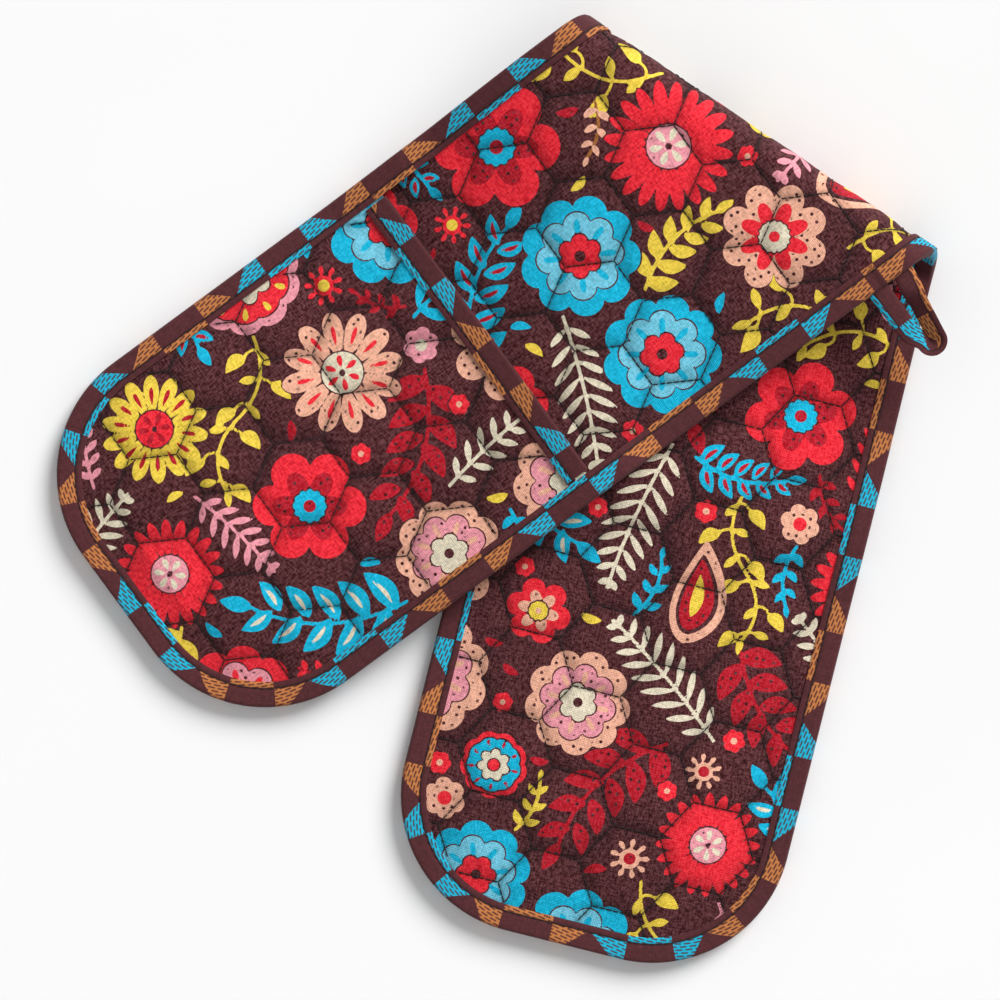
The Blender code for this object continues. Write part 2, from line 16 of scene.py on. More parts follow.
import bmesh
import bpy
import numpy as np
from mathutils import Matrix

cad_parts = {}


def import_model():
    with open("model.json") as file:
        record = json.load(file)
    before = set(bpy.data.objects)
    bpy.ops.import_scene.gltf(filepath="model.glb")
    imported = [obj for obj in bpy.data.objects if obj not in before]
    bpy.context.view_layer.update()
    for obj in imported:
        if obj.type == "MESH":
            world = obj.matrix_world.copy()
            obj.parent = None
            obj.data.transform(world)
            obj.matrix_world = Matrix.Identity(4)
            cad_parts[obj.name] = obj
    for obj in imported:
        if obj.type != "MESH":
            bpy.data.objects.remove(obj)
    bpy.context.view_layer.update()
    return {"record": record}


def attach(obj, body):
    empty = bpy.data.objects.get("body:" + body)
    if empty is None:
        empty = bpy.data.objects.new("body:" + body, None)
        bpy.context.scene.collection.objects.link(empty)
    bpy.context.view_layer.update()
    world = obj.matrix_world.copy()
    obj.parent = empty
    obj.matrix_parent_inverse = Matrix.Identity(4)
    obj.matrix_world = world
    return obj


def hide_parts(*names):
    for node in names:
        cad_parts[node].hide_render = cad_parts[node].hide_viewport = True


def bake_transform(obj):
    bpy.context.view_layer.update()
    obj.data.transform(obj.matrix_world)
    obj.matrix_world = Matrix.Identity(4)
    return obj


Array = np.ndarray
Spot = tuple[float, float]
Seam = tuple[Spot, Spot]

LOG = logging.getLogger("oven_glove")
MILLIMETRE = 0.001
HINGE_INSET = 0.0015
STRIP_LAYERS = ("back_cloth", "wadding", "front_cloth")
POCKET_LAYERS = ("outer_cloth", "wadding", "lining")


class Side(Enum):
    """The two arms of the glove; the value is the direction along the strip, away from the fold."""

    LEFT = -1
    RIGHT = 1


class Face(Enum):
    """The two faces of a quilted panel; the value is the sign of "out" on it."""

    FRONT = 1
    BACK = -1


def clamp(x: Array) -> Array:
    """Limits values to the range from 0 to 1."""
    return np.clip(x, 0.0, 1.0)


def smooth(x: Array) -> Array:
    """Eases values from 0 to 1 with a level start and end."""
    x = clamp(x)
    return x * x * (3 - 2 * x)


def line_run(places: Array) -> Array:
    """Distance of each place of a line from the first one, along the line."""
    steps = np.linalg.norm(np.diff(places, axis=0), axis=1)
    return np.concatenate([[0], np.cumsum(steps)])


@dataclass(frozen=True)
class Quilting:
    """A pattern of stitched hexagons with two sides square to the arm's axis."""

    start: float
    shift: float
    edge: float = 0.0231
    crease: float = 0.0016
    crease_depth: float = 0.45
    fullness: float = 2.2

    @property
    def tall(self) -> float:
        """Distance between two parallel sides of a hexagon."""
        return self.edge * math.sqrt(3)

    @property
    def wide(self) -> float:
        """Distance across the arm from one column of hexagons to the next."""
        return self.edge * 1.5

    def seam_distance(self, end: Array, across: Array) -> Array:
        """Distance from the nearest stitched side.

        Args:
            end: distances from the rounded end.
            across: distances from the centre line.

        Returns:
            The distances, in metres.
        """
        best = np.full(np.shape(end), self.tall)
        column = np.round((across - self.shift) / self.wide)
        for step in (-1, 0, 1):
            near = column + step
            row = np.round((end - self.start) / self.tall - near / 2)
            across_off = np.abs(across - self.shift - near * self.wide)
            for more in (-1, 0, 1):
                end_off = np.abs(end - self.start - (row + more + near / 2) * self.tall)
                best = np.minimum(best, np.maximum(end_off, end_off / 2 + across_off * math.sqrt(3) / 2))
        return clamp((self.tall / 2 - best) / self.tall) * self.tall

    def pillow(self, end: Array, across: Array) -> Array:
        """Height of the padding between seams, from below 0 in the crease to 1 in the middle.

        Args:
            end: distances from the rounded end.
            across: distances from the centre line.

        Returns:
            The heights.
        """
        away = self.seam_distance(end, across)
        full = 1 - (1 - clamp(away * 2 / self.tall)) ** self.fullness
        return full - self.crease_depth * np.exp(-((away / self.crease) ** 2))

    def corners(self, end: float, across: float) -> list[Spot]:
        """The six corners of the hexagon whose middle is at the given place."""
        turns = [math.pi / 2 + math.pi / 3 * i for i in range(6)]
        return [(end + self.edge * math.cos(t), across + self.edge * math.sin(t)) for t in turns]

    def sides(self, far: float, half_width: float) -> list[Seam]:
        """Each stitched side once, over the whole of an arm.

        Args:
            far: distance from the rounded end up to which sides are wanted.
            half_width: half the width of the cloth.

        Returns:
            Pairs of end points.
        """
        found: dict[tuple[int, int], Seam] = {}
        columns = math.ceil((half_width + self.wide) / self.wide) + 1
        rows = math.ceil(far / self.tall) + columns
        first = round(-self.start / self.tall)
        for column in range(-columns, columns + 1):
            for row in range(first - columns, first + rows + 1):
                middle = (self.start + (row + column / 2) * self.tall, self.shift + column * self.wide)
                ring = self.corners(*middle)
                for a, b in zip(ring, ring[1:] + ring[:1]):
                    key = (round((a[0] + b[0]) / MILLIMETRE), round((a[1] + b[1]) / MILLIMETRE))
                    found.setdefault(key, (a, b))
        return list(found.values())


@dataclass(frozen=True)
class Glove:
    """Sizes of the glove, and where each place on its cloth lies in the frame."""

    shift: tuple[float, float]
    width: float = 0.186
    left_length: float = 0.384
    right_length: float = 0.402
    corner_radius: float = 0.065
    fold_radius: float = 0.014
    fold_angle: float = math.radians(19.8)
    pocket_depth: float = 0.216
    hand_space: float = 0.0062
    mouth_lift: float = 0.0026
    mouth_lift_run: float = 0.026
    crown_run: float = 0.058
    mouth_fade: float = 0.11
    gap: float = 0.0003
    strip_edge: float = 0.0015
    strip_groove: float = 0.0018
    strip_puff: float = 0.0032
    pocket_edge: float = 0.0022
    pocket_groove: float = 0.0024
    pocket_puff: float = 0.0042
    puff_run: float = 0.012
    ease_stretch: float = 1.3
    ease_start: float = 0.12
    tape_width: float = 0.011
    tape_thickness: float = 0.0010
    thread: float = 0.0006
    topstitch_share: float = 0.72
    table_clearance: float = 0.0001
    sag_inside: float = 0.060
    sag_outside: float = 0.080
    fold_hold: float = 0.130
    fold_drop: float = 0.120
    arm_space: float = 0.0010
    pocket_quilting: Quilting = Quilting(0.0040, 0.0290)
    strip_quilt_start: float = 0.0205
    strip_quilt_shift: float = 0.0140

    @property
    def half_width(self) -> float:
        """Half the strip's width."""
        return self.width / 2

    @property
    def slant(self) -> tuple[float, float]:
        """Sine and cosine of the fold's angle across the strip."""
        return math.sin(self.fold_angle), math.cos(self.fold_angle)

    @property
    def half_turn(self) -> float:
        """Length of cloth from the middle of the fold to where it lies flat."""
        return self.fold_radius * math.pi / 2

    @property
    def bound(self) -> float:
        """Width of cloth that the tape covers."""
        return self.tape_width + self.gap * 3

    @property
    def tape_and_thread(self) -> float:
        """How far the tape and its topstitch stand over the cloth."""
        return self.gap * 2 + self.tape_thickness + self.thread

    @property
    def bottom_edge(self) -> float:
        """Height of the lower pocket's sewn edge over the table."""
        return self.table_clearance + self.tape_and_thread

    @property
    def lower_z(self) -> float:
        """Height of the strip's middle surface where only the strip lies on the table."""
        return self.table_clearance + max(self.strip_puff, self.strip_edge + self.tape_and_thread)

    @property
    def fold_z(self) -> float:
        """Height of the fold's centre."""
        return self.lower_z + self.fold_radius

    @property
    def carried_z(self) -> float:
        """Height of the left strip where the right arm carries it."""
        stack = self.pocket_puff + self.mouth_lift + self.hand_space + self.strip_puff * 3
        return stack + self.arm_space

    @property
    def topstitch_place(self) -> float:
        """Distance of the topstitch from the sewn edge."""
        return self.tape_width * self.topstitch_share

    def arm_length(self, side: Side) -> float:
        """Length of cloth from an arm's rounded end to the middle of the fold, on the centre line."""
        return self.right_length if side is Side.RIGHT else self.left_length

    def quilting(self, side: Side) -> Quilting:
        """The strip's hexagons in one arm's coordinates; they run on over the fold.

        Args:
            side: the arm.

        Returns:
            The pattern.
        """
        start = self.strip_quilt_start
        if side is Side.LEFT:
            start = self.left_length + self.right_length - start
        return Quilting(start, self.strip_quilt_shift)

    def fold_coordinates(self, side: Side, end: Array, across: Array) -> tuple[Array, Array]:
        """Distance along the fold, and over it from its middle, of a place on an arm.

        Args:
            side: the arm.
            end: distances from the rounded end.
            across: distances from the centre line.

        Returns:
            The distances along the fold, and those over it.
        """
        sin_a, cos_a = self.slant
        along = side.value * (self.arm_length(side) - end)
        return along * sin_a - across * cos_a, along * cos_a + across * sin_a

    def end_at(self, side: Side, over: float, across: Array) -> Array:
        """The distance from the arm's end at which it is "over" from the middle of the fold."""
        sin_a, cos_a = self.slant
        return self.arm_length(side) - (over - side.value * across * sin_a) / cos_a

    def edge_distance(self, end: Array, across: Array) -> Array:
        """How far a place on an arm lies from the nearest sewn edge.

        Args:
            end: distances from the rounded end.
            across: distances from the centre line.

        Returns:
            The distances, in metres.
        """
        side_gap = self.half_width - np.abs(across)
        radius = self.corner_radius
        corner = radius - np.hypot(radius - end, radius - side_gap)
        return np.where((end < radius) & (side_gap < radius), corner, np.minimum(side_gap, end))

    def eased(self, inside: Array) -> Array:
        """0 where a tape ends and 1 where the quilting is at its full height, this far inside it."""
        return smooth(inside / self.puff_run / self.ease_stretch + self.ease_start)

    def rise(self, end: Array, across: Array) -> Array:
        """0 on the sewn edge and 1 where the quilting reaches its full height."""
        return self.eased(self.edge_distance(end, across) - self.bound)

    def ramp(self, end: Array, across: Array) -> Array:
        """The plain ramp of the edge, which sets how layers stack."""
        return clamp((self.edge_distance(end, across) - self.bound) / self.puff_run)

    def past_mouth(self, end: Array) -> Array:
        """0 along the pocket, rising to 1 where the strip lies as if it had none."""
        return smooth((end - self.pocket_depth) / self.mouth_fade)

    def crown(self, end: Array, across: Array) -> Array:
        """0 at a sewn edge and 1 where a pocket stands fully open."""
        reach = (self.edge_distance(end, across) - self.bound) / self.crown_run
        return smooth(reach) * (1 - self.past_mouth(end))

    def edge_gap(self, end: Array) -> Array:
        """The pocket panel's gap to the strip under the tape, wider near the mouth."""
        lift = clamp((end - self.pocket_depth + self.mouth_lift_run) / self.mouth_lift_run)
        return self.gap + self.mouth_lift * lift

    def right_height(self, end: Array, across: Array) -> Array:
        """Height of the right strip's middle surface, which its own pocket carries.

        Args:
            end: distances from the rounded end.
            across: distances from the centre line.

        Returns:
            The heights.
        """
        under = self.edge_gap(np.minimum(end, self.pocket_depth))
        sewn = self.bottom_edge + self.pocket_edge + under + self.strip_edge
        quilted = (
            self.pocket_puff + self.strip_puff - self.bottom_edge - self.pocket_edge - self.strip_edge
        )
        stacked = sewn + quilted * self.ramp(end, across)
        lowered = stacked + (self.lower_z - stacked) * self.past_mouth(end)
        return lowered + self.hand_space * self.crown(end, across)

    def left_height(self, x: Array, y: Array) -> Array:
        """Height of the left strip: from the fold on to the right arm, and beside that to the table.

        Args:
            x: first coordinates, from the middle of the fold.
            y: second coordinates, from there.

        Returns:
            The heights.
        """
        sin_a, cos_a = self.slant
        upper_z = self.fold_z + self.fold_radius
        carried = upper_z + (self.carried_z - upper_z) * smooth(-y / self.fold_drop)
        inside = self.half_width + x * cos_a - (self.half_turn - y) * sin_a
        reach = clamp((inside + self.sag_outside) / (self.sag_inside + self.sag_outside))
        drop = (1 - smooth(reach)) * smooth(-y / self.fold_hold)
        return carried - (carried - self.lower_z) * drop

    def place(self, side: Side, end: Array, across: Array, out: Array) -> Array:
        """Points in the frame of places on an arm or on the half of the fold next to it.

        Args:
            side: the arm.
            end: distances from the rounded end.
            across: distances from the centre line.
            out: heights over the strip's middle surface, towards the pocket side.

        Returns:
            An array of points whose last axis holds x, y and z.
        """
        end, across, out = np.broadcast_arrays(end, across, out)
        x, over = self.fold_coordinates(side, end, across)
        if side is Side.LEFT:
            y = over + self.half_turn
            z = self.left_height(x, y) + out
        else:
            y = self.half_turn - over
            z = self.right_height(end, across) - out
        turn = np.clip(over, -self.half_turn, self.half_turn) / self.fold_radius
        reach = self.fold_radius + out
        in_fold = np.abs(over) < self.half_turn
        y = np.where(in_fold, reach * np.cos(turn), y)
        z = np.where(in_fold, self.fold_z - reach * np.sin(turn), z)
        return np.stack([x + self.shift[0], y + self.shift[1], z], axis=-1)

    def strip_half(self, side: Side, end: Array, across: Array) -> Array:
        """Half the thickness of the quilted strip.

        Args:
            side: the arm.
            end: distances from the rounded end.
            across: distances from the centre line.

        Returns:
            The half thicknesses.
        """
        pillow = self.quilting(side).pillow(end, across)
        quilted = self.strip_groove + (self.strip_puff - self.strip_groove) * pillow
        return self.strip_edge + (quilted - self.strip_edge) * self.rise(end, across)

    def from_mouth(self, end: Array) -> Array:
        """0 under the mouth's tape and 1 where the pocket's quilting reaches its full height."""
        return self.eased(self.pocket_depth - self.bound - end)

    def pocket_thickness(self, end: Array, across: Array) -> Array:
        """Thickness of the quilted pocket panel.

        Args:
            end: distances from the rounded end.
            across: distances from the centre line.

        Returns:
            The thicknesses.
        """
        pillow = self.pocket_quilting.pillow(end, across)
        quilted = self.pocket_groove + (self.pocket_puff - self.pocket_groove) * pillow
        full = self.rise(end, across) * self.from_mouth(end)
        return self.pocket_edge + (quilted - self.pocket_edge) * full

    def pocket_inside(self, side: Side, end: Array, across: Array) -> Array:
        """Height of the pocket's hand side over the strip's middle surface.

        Args:
            side: the arm.
            end: distances from the rounded end.
            across: distances from the centre line.

        Returns:
            The heights.
        """
        if side is Side.RIGHT:
            return self.pocket_outside(side, end, across) - self.pocket_thickness(end, across)
        ramp = self.ramp(end, across)
        strip = self.strip_edge + (self.strip_puff + self.gap * 2 - self.strip_edge) * ramp
        return strip + self.edge_gap(end) + self.hand_space * self.crown(end, across)

    def pocket_outside(self, side: Side, end: Array, across: Array) -> Array:
        """Height of the pocket's outer side; the right one is pressed flat on the table.

        Args:
            side: the arm.
            end: distances from the rounded end.
            across: distances from the centre line.

        Returns:
            The heights.
        """
        if side is Side.RIGHT:
            past = clamp((self.pocket_depth - self.bound - end) / self.puff_run)
            flat = self.ramp(end, across) * past
            return self.right_height(end, across) - self.bottom_edge * (1 - flat)
        return self.pocket_inside(side, end, across) + self.pocket_thickness(end, across)

    def front_height(self, end: Array) -> Array:
        """Height of what the tape covers on the pocket side, along a sewn edge.

        Args:
            end: distances from the rounded end.

        Returns:
            The heights over the strip's middle surface.
        """
        over = smooth((end - self.pocket_depth - self.bound) / self.mouth_lift_run)
        sewn = self.edge_gap(np.minimum(end, self.pocket_depth)) + self.pocket_edge
        return self.strip_edge + sewn * (1 - over)


@dataclass(frozen=True)
class Creases:
    """Small wrinkles of the cloth, as a sum of waves in fixed directions."""

    shortest: float
    longest: float
    waves: int = 14
    seed: int = 5

    def at(self, u: Array, v: Array) -> Array:
        """Wrinkle height from about -1 to 1 at places on the flat cloth.

        Args:
            u: places along the cloth.
            v: places across the cloth.

        Returns:
            The heights.
        """
        draw = np.random.default_rng(self.seed)
        total = np.zeros(np.shape(u))
        for _ in range(self.waves):
            turn = draw.uniform(0, math.tau)
            length = draw.uniform(self.shortest, self.longest)
            phase = draw.uniform(0, math.tau)
            total += np.sin((u * math.cos(turn) + v * math.sin(turn)) * math.tau / length + phase)
        return total / math.sqrt(self.waves * 2)


@dataclass
class Surface:
    """A mesh in the making: points, faces and what the materials read at each point."""

    points: list[Array] = field(default_factory=list)
    faces: list[Array] = field(default_factory=list)
    values: dict[str, list[Array]] = field(default_factory=dict)
    count: int = 0

    def add(self, points: Array, faces: Iterable[Array], **values: Array) -> None:
        """Adds points with the faces that use them.

        Args:
            points: rows of x, y and z.
            faces: arrays of corner numbers, each counted from the first of these points.
            **values: rows of three numbers for each point, by attribute name.
        """
        self.points.append(points)
        self.faces += [rows + self.count for rows in faces if len(rows)]
        for name, rows in values.items():
            self.values.setdefault(name, []).append(rows)
        self.count += len(points)

    def build(self, name: str, sharp: float = math.radians(50)) -> bpy.types.Object:
        """Makes the Blender object.

        Args:
            name: the piece's name.
            sharp: faces that meet at more than this angle keep a crisp edge.

        Returns:
            The object, linked to the scene.
        """
        points = np.concatenate(self.points)
        loops = np.concatenate([rows.ravel() for rows in self.faces])
        sizes = np.concatenate([np.full(len(rows), rows.shape[1]) for rows in self.faces])
        starts = np.concatenate([[0], np.cumsum(sizes)[:-1]])
        mesh = bpy.data.meshes.new(name)
        mesh.vertices.add(len(points))
        mesh.vertices.foreach_set("co", points.astype(np.float32).ravel())
        mesh.loops.add(len(loops))
        mesh.loops.foreach_set("vertex_index", loops.astype(np.int32))
        mesh.polygons.add(len(sizes))
        mesh.polygons.foreach_set("loop_start", starts.astype(np.int32))
        mesh.update(calc_edges=True)
        mesh.validate()
        for key, rows in self.values.items():
            layer = mesh.attributes.new(key, "FLOAT_VECTOR", "POINT")
            layer.data.foreach_set("vector", np.concatenate(rows).astype(np.float32).ravel())
        mesh.shade_smooth()
        mesh.set_sharp_from_angle(angle=sharp)
        piece = bpy.data.objects.new(name, mesh)
        bpy.context.collection.objects.link(piece)
        return piece


def grid_faces(rows: int, columns: int) -> Array:
    """Corner numbers of the squares of a grid of points, row by row."""
    first = (np.arange(rows - 1)[:, None] * columns + np.arange(columns - 1)).ravel()
    return np.stack([first, first + 1, first + columns + 1, first + columns], axis=1)


def tube_faces(rings: int, size: int) -> Array:
    """Corner numbers of the squares of a tube of rings with equally many points.

    Args:
        rings: number of rings.
        size: points in each ring.

    Returns:
        Rows of four corner numbers.
    """
    ring = np.arange(rings - 1)[:, None] * size
    here = np.arange(size)
    after = (here + 1) % size
    corners = [ring + here, ring + size + here, ring + size + after, ring + after]
    return np.stack([corner.ravel() for corner in corners], axis=1)


def sweep(surface: Surface, sections: Array, **values: Array) -> None:
    """Adds a closed bar through a row of sections.

    Args:
        surface: what the bar is added to.
        sections: an array of sections, points and coordinates.
        **values: rows of three numbers for each point, shaped as the sections are.
    """
    count, size = sections.shape[:2]
    near = np.arange(size)[None, :]
    far = near[:, ::-1] + (count - 1) * size
    rows = {name: value.reshape(-1, 3) for name, value in values.items()}
    surface.add(sections.reshape(-1, 3), [tube_faces(count, size), near, far], **rows)


def two_sided(surface: Surface, front: Array, back: Array, **values: tuple[Array, Array]) -> None:
    """Adds a closed pad from the grids of its two faces, joined round their border.

    Args:
        surface: what the pad is added to.
        front: grid of points of one face.
        back: grid of points of the other face.
        **values: a grid of three numbers for each face, by attribute name.
    """
    rows, columns = front.shape[:2]
    size = rows * columns
    numbers = np.arange(size).reshape(rows, columns)
    border = np.concatenate([numbers[0, :-1], numbers[:-1, -1], numbers[-1, :0:-1], numbers[:0:-1, 0]])
    after = np.roll(border, -1)
    rim = np.stack([border, border + size, after + size, after], axis=1)
    faces = grid_faces(rows, columns)
    points = np.concatenate([front.reshape(-1, 3), back.reshape(-1, 3)])
    flat = {name: np.concatenate([v.reshape(-1, 3) for v in pair]) for name, pair in values.items()}
    surface.add(points, [faces, faces[:, ::-1] + size, rim], **flat)


def turn_outward(piece: bpy.types.Object) -> None:
    """Makes all faces of a closed piece look outward.

    Args:
        piece: the piece.
    """
    mesh = piece.data
    work = bmesh.new()
    work.from_mesh(mesh)
    if work.calc_volume(signed=True) < 0:
        bmesh.ops.reverse_faces(work, faces=work.faces)
        work.to_mesh(mesh)
    work.free()


def build_pad(name: str, faces: Sequence[Array], readings: Sequence[dict[str, Array]],
              nodes: Sequence[str]) -> bpy.types.Object:
    """Builds a closed quilted pad.

    Args:
        name: the piece's name.
        faces: a grid of points for each of its two faces.
        readings: what the cloth's material reads on each face, by attribute name.
        nodes: the CAD nodes that it stands for.

    Returns:
        The piece.
    """
    surface = Surface()
    pairs = {key: (readings[0][key], readings[1][key]) for key in readings[0]}
    two_sided(surface, *faces, **pairs)
    piece = surface.build(name)
    turn_outward(piece)
    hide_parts(*nodes)
    return piece


def build_tape(name: str, sections: Array, reading: Array) -> bpy.types.Object:
    """Builds a closed length of tape from its sections and what its material reads on them.

    Args:
        name: the piece's name.
        sections: an array of sections, points and coordinates.
        reading: three numbers for each point, shaped as the sections are.

    Returns:
        The piece.
    """
    surface = Surface()
    sweep(surface, sections, tape=reading)
    piece = surface.build(name)
    turn_outward(piece)
    return piece


@dataclass(frozen=True)
class Stitching:
    """A row of sewn stitches: short lengths of thread that dip into the cloth at both ends."""

    length: float = 0.0032
    space: float = 0.00018
    radius: float = 0.00033
    slimmest: float = 0.70
    sunk: float = 0.15
    rings: int = 5
    sides: int = 5

    def add(self, surface: Surface, start: Array, finish: Array, lift: Array) -> None:
        """Adds stitches.

        Args:
            surface: what they are added to.
            start: point where each stitch comes out of the cloth.
            finish: point where it goes in again.
            lift: direction out of the cloth at each stitch.
        """
        along = finish - start
        along /= np.linalg.norm(along, axis=-1, keepdims=True)
        aside = np.cross(along, lift)
        aside /= np.linalg.norm(aside, axis=-1, keepdims=True)
        up = np.cross(aside, along)
        share = np.linspace(0, 1, self.rings)
        swell = np.sin(share * math.pi) ** 0.5
        thick = self.radius * (self.slimmest + (1 - self.slimmest) * swell)
        height = self.radius * (swell - self.sunk)
        turns = np.arange(self.sides) * math.tau / self.sides
        middle = start[:, None] + (finish - start)[:, None] * share[None, :, None]
        middle = middle + up[:, None] * height[None, :, None]
        ring = aside[:, None, None] * np.cos(turns)[None, None, :, None]
        ring = ring + up[:, None, None] * np.sin(turns)[None, None, :, None]
        points = middle[:, :, None] + ring * thick[None, :, None, None]
        size = self.rings * self.sides
        first = (np.arange(len(points)) * size)[:, None, None]
        near = np.arange(self.sides)[None, :]
        walls = (tube_faces(self.rings, self.sides)[None] + first).reshape(-1, 4)
        far = near[:, ::-1] + size - self.sides
        caps = [(ends[None] + first).reshape(-1, self.sides) for ends in (near, far)]
        surface.add(points.reshape(-1, 3), [walls, *caps])

    def split(self, total: float) -> tuple[Array, Array]:
        """Shares of a seam at which its stitches start and finish.

        Args:
            total: length of the seam.

        Returns:
            The shares where they start, and where they finish.
        """
        count = max(1, round(total / (self.length + self.space)))
        pitch = 1 / count
        start = np.arange(count) * pitch
        half_space = self.space / total / 2
        return start + half_space, start + pitch - half_space

    def on_hexagons(self, quilting: Quilting, far: float, half_width: float) -> tuple[Array, Array]:
        """Flat places where the stitches of an arm's hexagons start, and where they finish.

        Args:
            quilting: the pattern.
            far: distance from the rounded end up to which it is wanted.
            half_width: half the width of the cloth.

        Returns:
            Rows of end and across for the starts, and for the finishes.
        """
        sides = np.array(quilting.sides(far, half_width))
        a, b = sides[:, :1], sides[:, 1:]
        shares = self.split(quilting.edge)
        start, finish = ((a + (b - a) * share[:, None]).reshape(-1, 2) for share in shares)
        return start, finish

    def sew(self, name: str, runs: Iterable[tuple[Array, Array, Array]]) -> bpy.types.Object:
        """Builds a piece of stitches.

        Args:
            name: the piece's name.
            runs: for each run its start points, its finish points and its directions out of the cloth.

        Returns:
            The piece.
        """
        surface = Surface()
        for start, finish, lift in runs:
            self.add(surface, start, finish, lift)
        return surface.build(name)


QUILT_STITCH = Stitching()
TOPSTITCH = Stitching(length=0.0027, space=0.0009, radius=0.00028)
BAR_STITCH = Stitching(radius=0.0003)


class Ink(Enum):
    """The printed colours, in sRGB shares; the ground is the cloth's own dye."""

    BLUE = (0.00, 0.74, 0.89)
    OCHRE = (0.64, 0.40, 0.20)
    PEACH = (0.97, 0.72, 0.61)
    RED = (0.97, 0.17, 0.23)
    PINK = (0.96, 0.62, 0.67)
    YELLOW = (0.98, 0.85, 0.30)
    CREAM = (0.93, 0.885, 0.78)
    CRIMSON = (0.75, 0.09, 0.17)
    SKY = (0.47, 0.82, 0.92)


INKS = list(Ink)
Fill = Ink | None
FRECKLED = (Ink.PEACH, Ink.PINK, Ink.CRIMSON)
GROUND = (0.332, 0.156, 0.170)

# Bare ground kept round an ornament, and the distance that stands for "this ink isn't near".
HALO = 0.0008
FAR = -0.004

# Half widths of printed stems, from a leaf's stalk to a tulip's stem.
STALK = 0.0007
STEM = 0.0008
BRANCH_STEM = 0.00085
TULIP_STEM = 0.0009

# Widths of a leaf's vein and a fern's leaflet, half the width of the mark on a daisy's petal,
# the shortest leaf with a vein, and from how many petals on a daisy's have no mark.
VEIN = 0.0021
LEAFLET = 0.0033
PETAL_MARK = 0.0011
VEINED_LEAF = 0.010
MANY_PETALS = 16

# A fern's leaflets: one for each pitch of its half length, and the length that each has at least.
LEAFLET_PITCH = 0.0042
SHORT_LEAFLET = 0.002

# How steep the outlines' simple formulas are, as shares of a true distance.
ROUND_SLOPE = 0.8
PETAL_SLOPE = 0.9
LEAF_SLOPE = 0.92

# Powers that set where a petal is widest, and how round petals and leaves are.
PETAL_BELLY = 1.7
PETAL_ROUND = 0.5
LEAF_ROUND = 0.85


